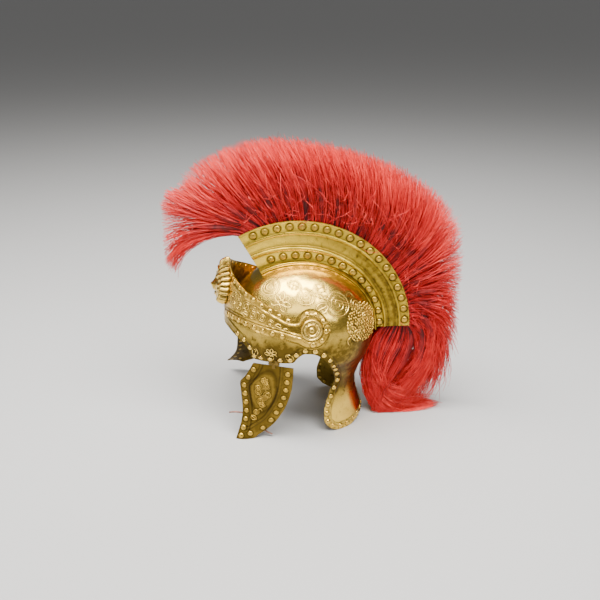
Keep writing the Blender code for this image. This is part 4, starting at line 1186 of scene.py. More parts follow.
shape = (boss_seat + boss_out * SEAT_GAP + shape).reshape(-1, 3)
boss_faces = net(len(radii), BOSS_SIDES, closed=True).tolist()
boss_faces += [list(range(BOSS_SIDES))[::-1], list(range(len(shape) - BOSS_SIDES, len(shape)))]
right_handed = np.dot(np.cross(boss_on, boss_up), boss_out)
for word, side in (("left", -1), ("right", 1)):
    turned = boss_faces if side * right_handed > 0 else [face[::-1] for face in boss_faces]
    boss = mesh_piece(f"boss_{word}", shape * [1, side, 1], turned, mask_brass)
    mark(boss.data, "hollow", np.repeat(darkness, BOSS_SIDES))
    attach(boss, "helmet")
    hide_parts(f"ear_boss_{word}")


# The crest holder: a brass channel on a flange that follows the bowl over the crown. It
# carries the hair. Its walls have a ridge and two rows of studs.
CREST_RADIUS, CREST_CENTRE_X, CREST_CENTRE_Z = 0.178, -0.0055, 0.151
CREST_FRONT_DEG, CREST_REAR_DEG = 119.6, 0.6
CREST_WIDTH, CREST_SEAT, CREST_FLANGE = 0.028, 0.0006, 0.005
CREST_STATIONS = 230
# One wall from its foot up: share of its height, how far it stands out in metres, darkness.
CREST_WALL = np.array([
    (0.03, 0.0000, 0.7), (0.05, 0.0010, 0.0), (0.08, 0.0004, 0.3), (0.10, 0.0000, 0.4),
    (0.18, 0.0000, 0.0), (0.25, 0.0000, 0.1), (0.285, 0.0002, 0.7), (0.305, 0.0012, 0.1),
    (0.33, 0.0018, 0.0), (0.355, 0.0012, 0.1), (0.375, 0.0002, 0.7), (0.40, 0.0000, 0.3),
    (0.413, 0.0005, 0.0), (0.426, 0.0000, 0.5), (0.50, 0.0000, 0.1), (0.60, 0.0000, 0.1),
    (0.67, 0.0001, 0.6), (0.69, 0.0009, 0.0), (0.71, 0.0013, 0.0), (0.73, 0.0009, 0.0),
    (0.75, 0.0002, 0.6), (0.83, 0.0000, 0.1), (0.90, 0.0000, 0.1), (0.955, 0.0002, 0.3),
    (0.975, 0.0010, 0.0), (1.00, 0.0009, 0.0),
])


def crest_point(turn, share, side):
    """A point of the holder at a turn on its arc: share 0 is on the bowl and 1 is on the arc."""
    turn, share, side = np.broadcast_arrays(*(np.asarray(v, float) for v in (turn, share, side)))
    a, c = BOWL_LENGTH / 2, BOWL_RISE
    way_x, way_z = np.cos(turn), np.sin(turn)
    wide = 1 - (side / (BOWL_WIDTH / 2)) ** 2
    start_x, start_z = CREST_CENTRE_X, CREST_CENTRE_Z - BOWL_BASE
    qa = (way_x / a) ** 2 + (way_z / c) ** 2
    qb = 2 * (start_x * way_x / a**2 + start_z * way_z / c**2)
    qc = (start_x / a) ** 2 + (start_z / c) ** 2 - wide
    foot = (-qb + np.sqrt(qb * qb - 4 * qa * qc)) / (2 * qa) + CREST_SEAT
    reach = foot + (CREST_RADIUS - foot) * share
    along, up = CREST_CENTRE_X + way_x * reach, CREST_CENTRE_Z + way_z * reach
    return np.stack([along, side, up], axis=-1)


def outwards(turn):
    """Ways out from the middle of the crest's arc at these turns."""
    return np.stack([np.cos(turn), 0 * turn, np.sin(turn)], axis=1)


# The two ridges in CREST_WALL, and how the holder changes along its arc, by turn in degrees.
LOW_RIDGE, HIGH_RIDGE = 0.33, 0.71
CREST_TURNS = (0, 30, 60, 90, 120)
LOW_RIDGE_SHARES = (0.25, 0.27, 0.30, 0.34, 0.43)
FLANGE_EXTRA = (0.006, 0.0055, 0.003, 0.001, 0.0)
LOW_STUD_SHARES = (0.10, 0.11, 0.15, 0.18, 0.21)
half = CREST_WIDTH / 2
foot = half + CREST_FLANGE
profile = [
    (0, 0, 0, 0.5), (0, foot / 2, 0, 0.5), (0, foot, 0, 0.5), (0, foot, SHEET, 0.1),
    (0, half + 0.003, SHEET, 0.1), (0, half + 0.0012, SHEET, 0.6),
]
profile += [(share, half + out, 0, dark) for share, out, dark in CREST_WALL]
profile += [
    (1, half - SHEET, 0, 0.2), (0.5, half - SHEET, 0, 0.6), (0, half - SHEET, 2 * SHEET, 0.9),
    (0, 0, 2 * SHEET, 0.9),
]
profile = np.array(profile, float)
fine_profile = [profile[0]]
for before, after in zip(profile[:-1], profile[1:]):
    pieces = max(1, math.ceil((after[0] - before[0]) / 0.014))
    fine_profile += [before + (after - before) * (k + 1) / pieces for k in range(pieces)]
profile = np.array(fine_profile)
degrees = np.linspace(CREST_FRONT_DEG, CREST_REAR_DEG, CREST_STATIONS)
turns = np.radians(degrees)
low_ridge = np.interp(degrees, CREST_TURNS, LOW_RIDGE_SHARES)[:, None]
nominal = profile[None, :, 0]
middle_share = (nominal - LOW_RIDGE) / (HIGH_RIDGE - LOW_RIDGE)
shares = np.where(
    nominal < LOW_RIDGE, nominal * low_ridge / LOW_RIDGE,
    low_ridge + middle_share * (HIGH_RIDGE - low_ridge),
)
shares = np.where(nominal > HIGH_RIDGE, nominal, shares)
sides = profile[None, :, 1] + np.where(
    (profile[:, 0] == 0) & (profile[:, 1] > foot - 0.001), 1, 0
) * np.interp(degrees, CREST_TURNS, FLANGE_EXTRA)[:, None]
one = crest_point(turns[:, None], shares, sides)
one = one + outwards(turns)[:, None, :] * profile[:, 2:3]
other = one[:, -2:0:-1] * [1, -1, 1]
section = np.concatenate([one, other], axis=1)
darkness = np.concatenate([profile[:, 3], profile[-2:0:-1, 3]])
around = section.shape[1]
holder_faces = net(CREST_STATIONS, around, closed=True).tolist()
holder_brass = brass_finish(
    "holder_brass", bright=(1.0, 0.67, 0.06), brown=(0.15, 0.09, 0.010), gloss=0.17, dents=1.6
)
for end in (0, (CREST_STATIONS - 1) * around):
    last = end + len(profile) - 1
    right = list(range(end, last + 1))
    left = [end, *range(end + around - 1, end + around - len(profile) + 1, -1), last]
    holder_faces += [right, left[::-1]] if not end else [right[::-1], left]
holder_faces = [face[::-1] for face in holder_faces]
holder = mesh_piece("crest_channel", section.reshape(-1, 3), holder_faces, holder_brass)
mark(holder.data, "hollow", np.tile(darkness, CREST_STATIONS))
rear_way = np.repeat(smoothly(-degrees, -88, -38), around)
wall_share = np.tile(np.concatenate([profile[:, 0], profile[-2:0:-1, 0]]), CREST_STATIONS)
streaks = 0.5 + 0.5 * np.sin(wall_share * 47 + 1.5 * np.sin(wall_share * 19))
plain_band = smoothly(wall_share, 0.36, 0.44) * smoothly(-wall_share, -0.72, -0.66)
brown = rear_way * (0.62 + 0.38 * plain_band) * (0.8 + 0.2 * streaks)
mark_brown_and_shade(holder, brown + 0.08 * plain_band * streaks)
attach(holder, "helmet")
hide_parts("crest_holder")

UPPER_STUD_SHARE, UPPER_STUD_STEP_DEG, LOWER_STUD_STEP_DEG = 0.86, 6.4, 8.7
CREST_STUD_RADIUS = 0.0048
crest_seats = []
for step in (UPPER_STUD_STEP_DEG, LOWER_STUD_STEP_DEG):
    degrees = np.arange(CREST_REAR_DEG + 3.5, CREST_FRONT_DEG - 3, step)
    share = UPPER_STUD_SHARE
    if step == LOWER_STUD_STEP_DEG:
        share = np.interp(degrees, CREST_TURNS, LOW_STUD_SHARES)
    crest_seats.append(crest_point(np.radians(degrees), share, -half))
crest_seats = both_sides(np.concatenate(crest_seats))
crest_normals = np.zeros_like(crest_seats)
crest_normals[:, 1] = np.sign(crest_seats[:, 1])
studs(
    "crest_studs", crest_seats, crest_normals, "helmet", radius=CREST_STUD_RADIUS, height=0.34,
    finish=shaded_stud_brass,
)
# A wide dark ring round each crest stud: painted shade at the stud's foot.
shade_and_dirt_round(holder, crest_seats, CREST_STUD_RADIUS * 1.18, 0.0016, 1.0)


# The cheek guards: dished brass plates that hang on hinges below the ears' front. Each has
# a studded border, an inner ridge and an embossed scroll panel. The far one is swung out.
HINGE_HEIGHT, EDGE_TO_PIN = 0.128, 0.0028
GUARD_WIDTH, GUARD_TWIST, GUARD_DISH = 0.080, 0.36, 0.003
RIGHT_GUARD_SWING_DEG = 26
# The guard's outline down from its hinge: drop, front edge and rear edge as shares.
GUARD_ROWS = np.array([
    (0.000, -0.413, 0.383), (0.100, -0.494, 0.378), (0.180, -0.568, 0.366), (0.280, -0.678, 0.348),
    (0.380, -0.663, 0.311), (0.545, -0.630, 0.220), (0.660, -0.616, 0.128), (0.780, -0.633, 0.006),
    (0.890, -0.670, -0.163), (0.950, -0.689, -0.294), (1.000, -0.708, -0.375),
])
GUARD_COLUMNS, GUARD_HIGH_ROWS = 72, 120
FRONT_BORDER, REAR_BORDER = 0.0130, 0.0180
HINGE_MIDDLES = {"left": (-0.07326, -0.10384, 0.128), "right": (-0.07326, 0.06667, 0.128)}
GUARD_RIDGE, LINE_LIFT = 0.0012, 0.0004
PANEL_DROP, PANEL_ACROSS, PANEL_TALL, PANEL_WIDE = 0.36, 0.455, 0.235, 0.225
# The studs: shares of the drop, then the side that each stands by and how far in from it.
SIDE_STUD_DROPS = [0.09, 0.20, 0.31, 0.42, 0.53, 0.64, 0.75, 0.86, 0.96]
seat_drop = np.array([*SIDE_STUD_DROPS, *SIDE_STUD_DROPS[:-1], 0.93])
seat_side = np.array([0] * 9 + [1] * 8 + [0.55])
seat_inset = np.array([0.0062] * 9 + [-0.0085] * 8 + [0])
# Motifs on the guard's panel: kind, share of the drop, share across, size, turn in degrees.
GUARD_MOTIFS = [
    ("scroll", 0.36, 0.37, 0.0065, 60), ("scroll", 0.40, 0.56, 0.0065, 240),
    ("spiral", 0.49, 0.42, 0.0060, 20), ("spiral", 0.28, 0.53, 0.0055, 0),
    ("flower", 0.215, 0.45, 0.0060, 0), ("eye", 0.44, 0.50, 0.0045, 0),
    ("leaf", 0.54, 0.47, 0.0055, 80), ("leaf", 0.31, 0.36, 0.0050, 60),
    ("scroll", 0.64, 0.36, 0.0050, 80), ("leaf", 0.72, 0.33, 0.0055, 75),
]


def guard_local(drop, across):
    """A point on the guard's outer face in its hinge frame: along the pin, outwards, up."""
    drop, across = np.broadcast_arrays(np.asarray(drop, float), np.asarray(across, float))
    height = HINGE_HEIGHT - EDGE_TO_PIN
    front = flowing(drop, GUARD_ROWS[:, 0], GUARD_ROWS[:, 1]) * GUARD_WIDTH
    rear = flowing(drop, GUARD_ROWS[:, 0], GUARD_ROWS[:, 2]) * GUARD_WIDTH
    along = front + (rear - front) * across
    dish = GUARD_DISH * 4 * across * (1 - across) * np.minimum(1, 4 * drop)
    out = SHEET / 2 - GUARD_TWIST * along * drop**2 + dish
    return np.stack([along, out, -EDGE_TO_PIN - height * drop], axis=-1)


def guard_place(word):
    """The function that puts guard_local's points in the helmet's own frame."""
    side = -1 if word == "left" else 1
    swing = math.radians(RIGHT_GUARD_SWING_DEG) if word == "right" else 0.0
    along, out = hinge_ways(side)
    middle = np.array(HINGE_MIDDLES[word]) - HELMET_MIDDLE

    def place(drop, across):
        x, y, z = np.moveaxis(guard_local(drop, across), -1, 0)
        y, z = y * math.cos(swing) - z * math.sin(swing), y * math.sin(swing) + z * math.cos(swing)
        return middle + x[..., None] * along + y[..., None] * out + z[..., None] * upwards

    return place, out * math.cos(swing) + upwards * math.sin(swing)


# The guards' brass is dark: painted shade, for guards that hang out of the key light.
shaded_guard_brass = brass_finish(
    "shaded_guard_brass", bright=(0.40, 0.25, 0.036), brown=(0.13, 0.08, 0.011), tarnish_and_shade=0.6, gloss=0.2
)
drops, acrosses = np.linspace(0, 1, GUARD_HIGH_ROWS), np.linspace(0, 1, GUARD_COLUMNS)
guard_across, guard_drop = (grid.ravel() for grid in np.meshgrid(acrosses, drops, indexing="ij"))
panel = np.hypot(
    (guard_drop - PANEL_DROP) / PANEL_TALL, (guard_across - PANEL_ACROSS) / PANEL_WIDE
)
for word in ("left", "right"):
    place, out_way = guard_place(word)
    points = place(guard_drop, guard_across)
    guard_quads = net(GUARD_COLUMNS, GUARD_HIGH_ROWS)[:, TURNED]
    if face_normals(points, guard_quads).mean(axis=0) @ out_way < 0:
        guard_quads = guard_quads[:, ::-1]
    front_edge, *rear_edges = place(drops, 0.0), place(drops, 1.0), place(1.0, acrosses)
    front_gap = away_from(points, front_edge)
    rear_gap = away_from(points, np.concatenate(rear_edges))
    relief = rolled_edge(np.minimum(front_gap, rear_gap))
    front_gap += FRONT_BORDER * smoothly(guard_drop, 0.90, 0.97)
    inside_rear, inside_front = rear_gap > REAR_BORDER - 0.001, front_gap > FRONT_BORDER - 0.001
    relief += GUARD_RIDGE * hill(front_gap, FRONT_BORDER, 0.0013) * inside_rear
    relief += GUARD_RIDGE * hill(rear_gap, REAR_BORDER, 0.0014) * inside_front
    relief += 0.0006 * hill(panel, 1.0, 0.12) + 0.0009 * np.clip(1 - panel, 0, 1) ** 0.5
    darkness = 0.6 * hill(panel, 1.22, 0.12) + 0.4 * hill(panel, 0.8, 0.08)
    for gap, border in ((front_gap, FRONT_BORDER), (rear_gap, REAR_BORDER)):
        darkness += 0.8 * hill(gap, border + 0.0024, 0.0012) + 0.5 * hill(gap, border - 0.0022, 0.001)
    guard = sheet_piece(f"cheek_sheet_{word}", points, guard_quads, relief, darkness, shaded_guard_brass)
    # The guard turns brown, most over its border: painted shade. On the far guard its back turns
    # brown in full, painted shade as well.
    back_darkening = 0.5 if word == "left" else 1.0
    mark_brown_and_shade(guard, 0.85 - 0.60 * smoothly(1.15 - panel, 0, 0.3), back_darkening)
    body = f"cheek_{word}"
    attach(guard, body)
    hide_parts(f"cheek_guard_{word}")

    wide = np.linalg.norm(place(seat_drop, 1.0) - place(seat_drop, 0.0), axis=1)
    seat_across = seat_side + seat_inset / wide
    seats = place(seat_drop, seat_across)
    normals = surface_normals(place, seat_drop, seat_across, out_way)
    studs(f"cheek_studs_{word}", seats, normals, body, finish=shaded_stud_brass)
    # A dark ring round each stud: painted shade at the stud's foot.
    shade_and_dirt_round(guard, seats, STUD_RADIUS * 1.25, 0.0008, 0.7)

    lines = []
    for kind, drop, across, size, lean in GUARD_MOTIFS:
        lines += laid_on(place, lambda _: out_way, drop, across, kind, size, lean, -LINE_LIFT)
    chased(f"cheek_chasing_{word}", lines, body, radius=0.0009, finish=shaded_stud_brass)
    shade_and_dirt_round(guard, np.concatenate(lines), 0.0014, 0.0009, 0.75)


# The hinges: three folded straps round a pin on each side, in a dark brass finish. Their
# CAD nodes keep their shape and get this finish.
hinge_brass = brass_finish(
    "hinge_brass", bright=(0.22, 0.14, 0.035), brown=(0.09, 0.055, 0.014), tarnish_and_shade=0.9, gloss=0.34
)
for name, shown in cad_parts.items():
    if name.startswith("hinge_"):
        shown.data.materials.clear()
        shown.data.materials.append(hinge_brass)


# The crest of dyed hair: a thick brush set in the channel, and a long tail behind. A dark
# inner mass, painted shade inside the brush, fills the roots, and the loose strands over it
# are grown along the same flow.
HAIR_LENGTH, LOCK_WIDTH, LOCK_SPREAD, HAIR_ROOT = 0.130, 0.028, 0.050, 0.010
# Flow of the brush by root: turn, length share, headings at root, low, high and tip.
BRUSH = np.array([
    (117, 1.04, 166, 188, 220, 256), (115, 1.02, 158, 174, 188, 206),
    (113.4, 1.04, 152, 162, 168, 174), (111.8, 1.06, 148, 154, 157, 158),
    (110.9, 0.90, 145, 150, 151, 152), (108.5, 1.04, 140, 143, 143, 142),
    (105, 1.00, 131, 130, 128, 125), (99, 1.00, 114, 119, 122, 124),
    (92, 1.00, 100, 108, 117, 124), (85, 0.97, 92, 101, 113, 123), (78, 0.95, 85, 95, 109, 121),
    (71, 0.95, 78, 90, 106, 119), (64, 0.96, 71, 85, 102, 116), (57, 0.98, 65, 80, 98, 112),
    (50, 1.00, 58, 74, 92, 107), (44, 1.01, 51, 67, 85, 100), (38.5, 1.02, 45, 60, 76, 91),
    (33.5, 1.01, 42, 54, 67, 78), (29, 0.99, 42, 50, 57, 62), (24, 0.92, 42, 44, 44, 40),
    (19.5, 0.80, 42, 36, 26, 12), (16, 0.72, 40, 26, 8, -14), (12.5, 0.68, 34, 14, -12, -40),
    (9.5, 0.74, 24, -2, -36, -64), (6.5, 0.98, 10, -36, -70, -88), (4, 1.35, -4, -66, -90, -120),
    (2.0, 1.40, -26, -84, -110, -106),
])
# Flow of the hair that falls over the rear of the brush, down to the floor.
DRAPE = np.array([
    (18, 1.54, 26, -66, -92, -112), (14, 1.58, 12, -74, -98, -150),
    (10, 1.58, -4, -80, -112, -170), (6, 1.72, -22, -84, -138, -20), (2, 1.76, -46, -92, -146, 0),
])
# Flow of the tail by root, a share of the way from the holder's outer edge to the bowl.
TAIL = np.array([
    (0.00, 1.46, 300, 252, 232, 350), (0.14, 1.62, 276, 238, 258, 357),
    (0.32, 1.82, 252, 242, 300, 359), (0.52, 1.96, 240, 256, 318, 361),
    (0.78, 1.92, 236, 268, 328, 362),
])
# Flow of the inner mass, which keeps inside the strands, with each lock's width after it.
CORE = np.array([
    (115, 0.66, 158, 170, 178, 190, 0.8), (112.2, 0.62, 149, 155, 158, 160, 0.9),
    (109.5, 0.66, 142, 142, 140, 136, 0.9), (105, 0.72, 130, 128, 124, 120, 1),
    (99, 0.76, 112, 115, 119, 124, 1), (92, 0.76, 99, 104, 112, 120, 1),
    (85, 0.76, 91, 98, 107, 116, 1), (78, 0.74, 84, 92, 103, 112, 1),
    (71, 0.74, 78, 88, 100, 110, 1), (64, 0.74, 70, 82, 96, 107, 1),
    (57, 0.76, 63, 77, 92, 103, 1), (50, 0.78, 56, 71, 86, 98, 1), (44, 0.80, 49, 65, 80, 92, 1),
    (38.5, 0.80, 44, 59, 73, 85, 1), (33.5, 0.80, 42, 54, 65, 74, 1),
    (29, 0.78, 42, 50, 56, 60, 1), (24, 0.70, 42, 44, 44, 40, 1),
    (19.5, 0.58, 43, 38, 26, 14, 0.9), (15, 0.50, 40, 24, 6, -14, 0.9),
    (11, 0.50, 30, 4, -24, -50, 0.9), (7.5, 0.80, 2, -50, -80, -96, 0.9),
    (4.5, 1.10, -24, -84, -108, -140, 0.8),
])
CORE_TAIL = np.array([
    (0.02, 0.98, 292, 256, 236, 250, 0.8),
    (0.14, 1.10, 278, 240, 248, 330, 0.8), (0.36, 1.24, 252, 246, 290, 350, 0.9),
    (0.60, 1.26, 240, 260, 312, 354, 0.9),
])
LOCK_GIRTHS = np.array([
    (0, 1.05, 0.46), (0.1, 1.05, 0.46), (0.35, 1.02, 0.76), (0.65, 1, 1), (0.88, 0.72, 0.86),
    (1, 0.2, 0.34),
])
HAIR_RADIUS = 0.00050
# Hair colours: the dark roots are painted shade and the light tips painted highlight, over the
# hair's own red.
HAIR_DARK, HAIR_RED = (0.055, 0.002, 0.003), (0.60, 0.012, 0.014)
HAIR_LIGHT = (1.0, 0.080, 0.055)
BRUSH_STRANDS, TUFT_STRANDS, DRAPE_STRANDS = 5400, 820, 1150
TAIL_STRANDS, LOOSE_STRANDS = 1600, 300
HAIR_STREAKS, HAIR_SHINE = 0.5, 0.28
STRAND_POINTS, STRAND_SIDES = 8, 3
CORE_SHRINK, CORE_SIDES = 0.86, 16
# Where a strand's four headings hold: shares of its length.
HEADINGS_AT = (0, 1 / 3, 2 / 3, 1)
# How far a strand strays from its headings, where it leaves the channel, and how it tapers.
DRIFT_DEG, SWAY_DEG, SIDE_WAVE, FREE_BETWEEN = 9, 5, 0.0016, (0.06, 0.45)
STRAND_TAPER = (0, 0.2, 0.75, 1), (0.9, 1, 0.9, 0.34)
STRAND_START = 0.006
ROOT_HALF_WIDTH = 0.011


def hair_finish(name, rough):
    """Dyed red hair with painted light and shade: dark at its roots, lighter and orange at its
    tips, lighter and darker in locks and streaks, glossy along it.
    """
    made, tree, shader = fresh_material(name)
    clump = put(tree, "ShaderNodeTexNoise", Vector=object_place(tree), Scale=55, Detail=3)
    clump = maths(tree, "SUBTRACT", clump.outputs["Fac"], 0.5)
    terms = [maths(tree, "MULTIPLY", clump, HAIR_STREAKS)]
    for word, share in (("along", 0.34), ("tone", 0.52)):
        given = put(tree, "ShaderNodeAttribute", attribute_name=word).outputs["Fac"]
        terms.append(maths(tree, "MULTIPLY", given, share))
    tint = ramped(
        tree, maths(tree, "ADD", *terms), (0.04, HAIR_DARK), (0.42, HAIR_RED), (0.95, HAIR_LIGHT)
    )
    feed(tree, shader, Base_Color=tint, Roughness=rough, Specular_IOR_Level=HAIR_SHINE)
    return made


strand_hair, core_hair = hair_finish("strand_hair", 0.42), hair_finish("core_hair", 0.7)
crest_middle = np.array([CREST_CENTRE_X, 0, CREST_CENTRE_Z])


def flow_of(table, root):
    """Length shares and headings at these roots of a flow table."""
    known = table[np.argsort(table[:, 0])]
    share, *headings = (np.interp(root, known[:, 0], known[:, k]) for k in range(1, 6))
    return share, np.stack(headings, axis=1)


def strand_paths(start, length, headings, sides, spread, points, frizz):
    """Paths of strands: out of the holder, then along their headings in steps."""
    count = len(start)
    marks = (np.arange(points - 1) + 0.5) / (points - 1)
    ways = np.stack([np.interp(marks, HEADINGS_AT, row) for row in headings])
    wobble = rng.normal(0, 1, (count, 3))
    sway = np.sin(marks * 5 + wobble[:, 2:3] * 3)
    drift = wobble[:, :1] * marks * DRIFT_DEG + wobble[:, 1:2] * SWAY_DEG * sway
    ways = np.radians(ways + drift * frizz)
    step = (length / (points - 1))[:, None]
    paths = np.repeat(start[:, None], points, axis=1)
    paths[:, 1:, 0] += np.cumsum(np.cos(ways) * step, axis=1)
    paths[:, 1:, 2] += np.cumsum(np.sin(ways) * step, axis=1)
    share = np.arange(points) / (points - 1)
    open_out = np.interp(share, LOCK_GIRTHS[:, 0], LOCK_GIRTHS[:, 2])
    side_wave = SIDE_WAVE * np.sin(share * 7 + wobble[:, 2:3] * 4) * share
    outer = sides[:, None] * open_out * spread + side_wave * frizz * 2
    free = smoothly(share, *FREE_BETWEEN)
    paths[:, :, 1] = start[:, 1:2] * (1 - free) + outer * free
    return paths


def clumped(first, last, strands, locks, amount):
    """Roots between two others, drawn towards the nearest of a few locks' middles."""
    values = rng.uniform(first, last, strands)
    middles = np.sort(rng.uniform(values.min(), values.max(), locks))
    nearest = middles[np.abs(values[:, None] - middles).argmin(axis=1)]
    return values + (nearest - values) * amount


HAIR_REACH, LOWEST_HAIR = 0.013, 0.0008
hair_low, hair_high = np.array(cad_box[0]) - HAIR_REACH, np.array(cad_box[1]) + HAIR_REACH


def hair_piece(name, paths, radius=HAIR_RADIUS):
    """Strands as fine three-sided tubes, with their tone and the way along them."""
    placed = paths + HELMET_MIDDLE
    inside = (placed[..., :2] > hair_low[:2]) & (placed[..., :2] < hair_high[:2])
    inside = inside.all(axis=(1, 2)) & (placed[..., 2] < hair_high[2]).all(axis=1)
    paths = paths[inside]
    count, points, _ = paths.shape
    share = np.linspace(0, 1, points)
    paths[:, :, 2] = np.maximum(paths[:, :, 2], LOWEST_HAIR)
    thick = np.tile(np.interp(share, *STRAND_TAPER), (count, 1))
    thick *= rng.uniform(0.7, 1.25, (count, 1))
    x, y, z = paths[:, 2].T
    # Lighter and darker locks: painted highlights, and painted shade between the locks.
    lock_tone = 0.5 + 0.5 * np.sin(x * 420 + 3 * np.sin(z * 260)) * np.cos(y * 300 + x * 90)
    tone = np.repeat(0.55 * lock_tone + 0.45 * rng.uniform(0, 1, count), points)
    made = wires(
        name, list(paths), thick.ravel(), strand_hair, radius, STRAND_SIDES, tone=tone,
        along=np.tile(share, count),
    )
    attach(made, "helmet")


def rooted(table, roots, shortest, longest, mixing):
    """Starts, lengths, headings and sides of strands that stand in the channel."""
    count = len(roots)
    side = rng.uniform(-1, 1, count)
    side = np.sign(side) * np.abs(side) ** 0.75
    stray = rng.normal(0, mixing, count) * np.where(roots > 106, 0.35, 1)
    share, headings = flow_of(table, roots + stray)
    start = crest_middle + outwards(np.radians(roots)) * (CREST_RADIUS - STRAND_START)
    start[:, 1] = side * ROOT_HALF_WIDTH
    cut = np.maximum(shortest, longest - np.abs(rng.normal(0, (longest - shortest) / 2.4, count)))
    length = share * HAIR_LENGTH * cut + STRAND_START
    return start, length, headings, side * LOCK_SPREAD / 2


rng = np.random.default_rng(7)
roots = np.sort(clumped(2.0, 117, BRUSH_STRANDS, 80, 0.35))
brush = strand_paths(*rooted(BRUSH, roots, 0.86, 1.01, 1.4), 1.0, STRAND_POINTS, 0.75)
for word, part in zip(("rear", "high_rear", "high_front", "front"), np.array_split(brush, 4)):
    hair_piece(f"hair_brush_{word}", part)

roots = clumped(109.6, 117, TUFT_STRANDS, 9, 0.4)
hair_piece("hair_tuft", strand_paths(
    *rooted(BRUSH, roots, 0.88, 1.0, 0.5), 0.9, STRAND_POINTS, 0.6
))

roots = clumped(2.0, 18, DRAPE_STRANDS, 11, 0.7)
hair_piece("hair_drape", strand_paths(
    *rooted(DRAPE, roots, 0.70, 1.0, 1.0), 0.9, STRAND_POINTS + 2, 0.6
))

mouth = math.radians(CREST_REAR_DEG)
roots = clumped(0.0, 0.86, TAIL_STRANDS, 15, 0.72)
side = rng.uniform(-1, 1, TAIL_STRANDS)
share, headings = flow_of(TAIL, roots + rng.normal(0, 0.02, TAIL_STRANDS))
start = crest_point(mouth + 0.02, 1 - roots, 0)
start[:, 1] = side * ROOT_HALF_WIDTH
length = share * HAIR_LENGTH * rng.uniform(0.64, 1.09, TAIL_STRANDS)
hair_piece("hair_tail", strand_paths(
    start, length, headings, side * LOCK_SPREAD / 2, 1.05, STRAND_POINTS + 3, 0.5
))

roots = rng.uniform(3, 116, LOOSE_STRANDS)
loose = strand_paths(*rooted(BRUSH, roots, 0.35, 1.03, 4), 1.15, STRAND_POINTS + 1, 3.2)
hair_piece("hair_loose", loose, radius=HAIR_RADIUS * 0.75)

# Short broken hairs that stand out from the brush in all directions.
FRIZZ_STRANDS, FRIZZ_LENGTH, FRIZZ_POINTS = 260, 0.045, 7
roots = rng.uniform(4, 114, FRIZZ_STRANDS)
start, length, headings, sides = rooted(BRUSH, roots, 0.35, 1.03, 4)
start += outwards(np.radians(roots)) * rng.uniform(0.0, 0.045, (FRIZZ_STRANDS, 1))
sides = np.sign(sides) * rng.uniform(0.017, 0.025, FRIZZ_STRANDS)
start[:, 1] = np.sign(sides) * rng.uniform(0.011, 0.015, FRIZZ_STRANDS)
headings += rng.normal(0, 34, (FRIZZ_STRANDS, 1)) + rng.normal(0, 30, (FRIZZ_STRANDS, 4))
length = FRIZZ_LENGTH * rng.uniform(0.5, 1.3, FRIZZ_STRANDS)
frizz = strand_paths(start, length, headings, sides, 1.1, FRIZZ_POINTS, 3.0)
hair_piece("hair_frizz", frizz, radius=HAIR_RADIUS * 0.7)


def girth_at(share, column):
    """Share of a lock's width (1) or of its spread (2) at shares of its length."""
    return flowing(share, LOCK_GIRTHS[:, 0], LOCK_GIRTHS[:, column])


def lock_path(row, first, lead):
    """The middle of an inner lock, along the same headings as the strands."""
    _, length_share, *headings, width = row
    points = [first, lead]
    at = lead.copy()
    for end in np.arange(1, LOCK_STEPS + 1) / LOCK_STEPS:
        way = math.radians(np.interp(end - 0.5 / LOCK_STEPS, HEADINGS_AT, headings))
        step = length_share * HAIR_LENGTH * LOCK_SHARE / LOCK_STEPS
        at = at + np.array([math.cos(way), 0, math.sin(way)]) * step
        lowest = width * LOCK_WIDTH / 2 * girth_at(end, 1)
        points.append(np.array([at[0], 0, max(at[2], lowest)]))
    return np.array(points)


def lock_rings(path, width):
    """Rings of points round an inner lock, grooved along it, and the way along it at each."""
    last = len(path) - 1
    k = np.arange(len(path))
    way = path[np.minimum(k + 1, last)] - path[np.maximum(k - 1, 0)]
    way /= np.linalg.norm(way, axis=1, keepdims=True)
    across = np.stack([-way[:, 2], 0 * way[:, 0], way[:, 0]], axis=1)
    share = np.maximum(0, k - 1) / (last - 1)
    half_width = girth_at(share, 1) * LOCK_WIDTH * width * CORE_SHRINK / 2
    half_spread = girth_at(share, 2) * LOCK_SPREAD * CORE_SHRINK / 2
    turns = math.tau * np.arange(CORE_SIDES) / CORE_SIDES
    groove = 1 - LOCK_GROOVE * (np.arange(CORE_SIDES) % 2)
    out = half_width[:, None] * np.sin(turns) * groove
    rings = path[:, None] + across[:, None] * out[..., None]
    rings[..., 1] += half_spread[:, None] * np.cos(turns) * groove
    rings[..., 2] = np.maximum(rings[..., 2], LOWEST_LOCK)
    return rings, np.repeat(share * LOCK_TIP_TONE, CORE_SIDES)


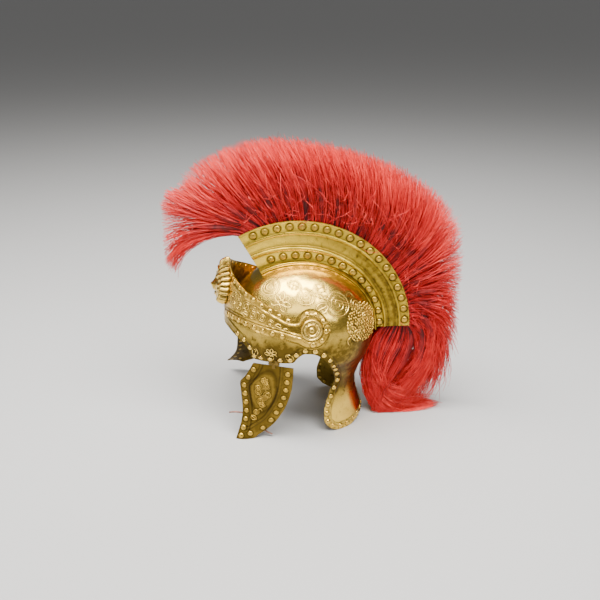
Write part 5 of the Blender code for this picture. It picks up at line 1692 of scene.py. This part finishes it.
# The dark inner mass, painted shade inside the brush: a lock of solid hair at each root, and the
# strip that they stand in.
LOCK_STEPS, LOCK_SHARE, LOCK_GROOVE, LOWEST_LOCK, LOCK_TIP_TONE = 24, 0.93, 0.07, 0.0004, 0.75
BED_STATIONS, BED_SHARE = 120, 0.985
ways = outwards(np.radians(CORE[:, 0]))
starts = np.concatenate([
    crest_middle + ways * (CREST_RADIUS - HAIR_ROOT - LOCK_WIDTH / 4),
    crest_point(mouth + HAIR_ROOT / CREST_RADIUS, 1 - CORE_TAIL[:, 0], 0),
])
leads = np.concatenate([
    crest_middle + ways * (CREST_RADIUS + SEAT_GAP),
    crest_point(mouth - 2 * SHEET / CREST_RADIUS, 1 - CORE_TAIL[:, 0], 0),
])
tubes = [
    lock_rings(lock_path(row, first, lead), row[6])
    for row, first, lead in zip(np.concatenate([CORE, CORE_TAIL]), starts, leads)
]
floor_lift = 2 * SHEET + SEAT_GAP
bed_half = CREST_WIDTH / 2 - SHEET - SEAT_GAP
bed = np.array([
    (0, 0, floor_lift), (0, bed_half, floor_lift), (BED_SHARE, bed_half, 0), (BED_SHARE, 0, 0),
])
turns = np.radians(np.linspace(CREST_FRONT_DEG - 0.5, CREST_REAR_DEG + 0.3, BED_STATIONS))
rings = crest_point(turns[:, None], bed[:, 0], bed[:, 1])
rings = rings + outwards(turns)[:, None, :] * bed[:, 2:]
rings = np.concatenate([rings, rings[:, -2:0:-1] * [1, -1, 1]], axis=1)
tubes.append((rings, np.zeros(rings[..., 0].size)))
core_points, core_faces, core_along = [], [], []
for rings, along in tubes:
    base, (stations, around, _) = len(core_points), rings.shape
    core_points += list(rings.reshape(-1, 3))
    core_along += list(along)
    core_faces += (net(stations, around, closed=True)[:, TURNED] + base).tolist()
    core_faces += [list(range(base, base + around))]
    core_faces += [list(range(len(core_points) - around, len(core_points)))[::-1]]
core = mesh_piece("hair_core", core_points, core_faces, core_hair)
mark(core.data, "along", core_along)
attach(core, "helmet")
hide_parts("plume")
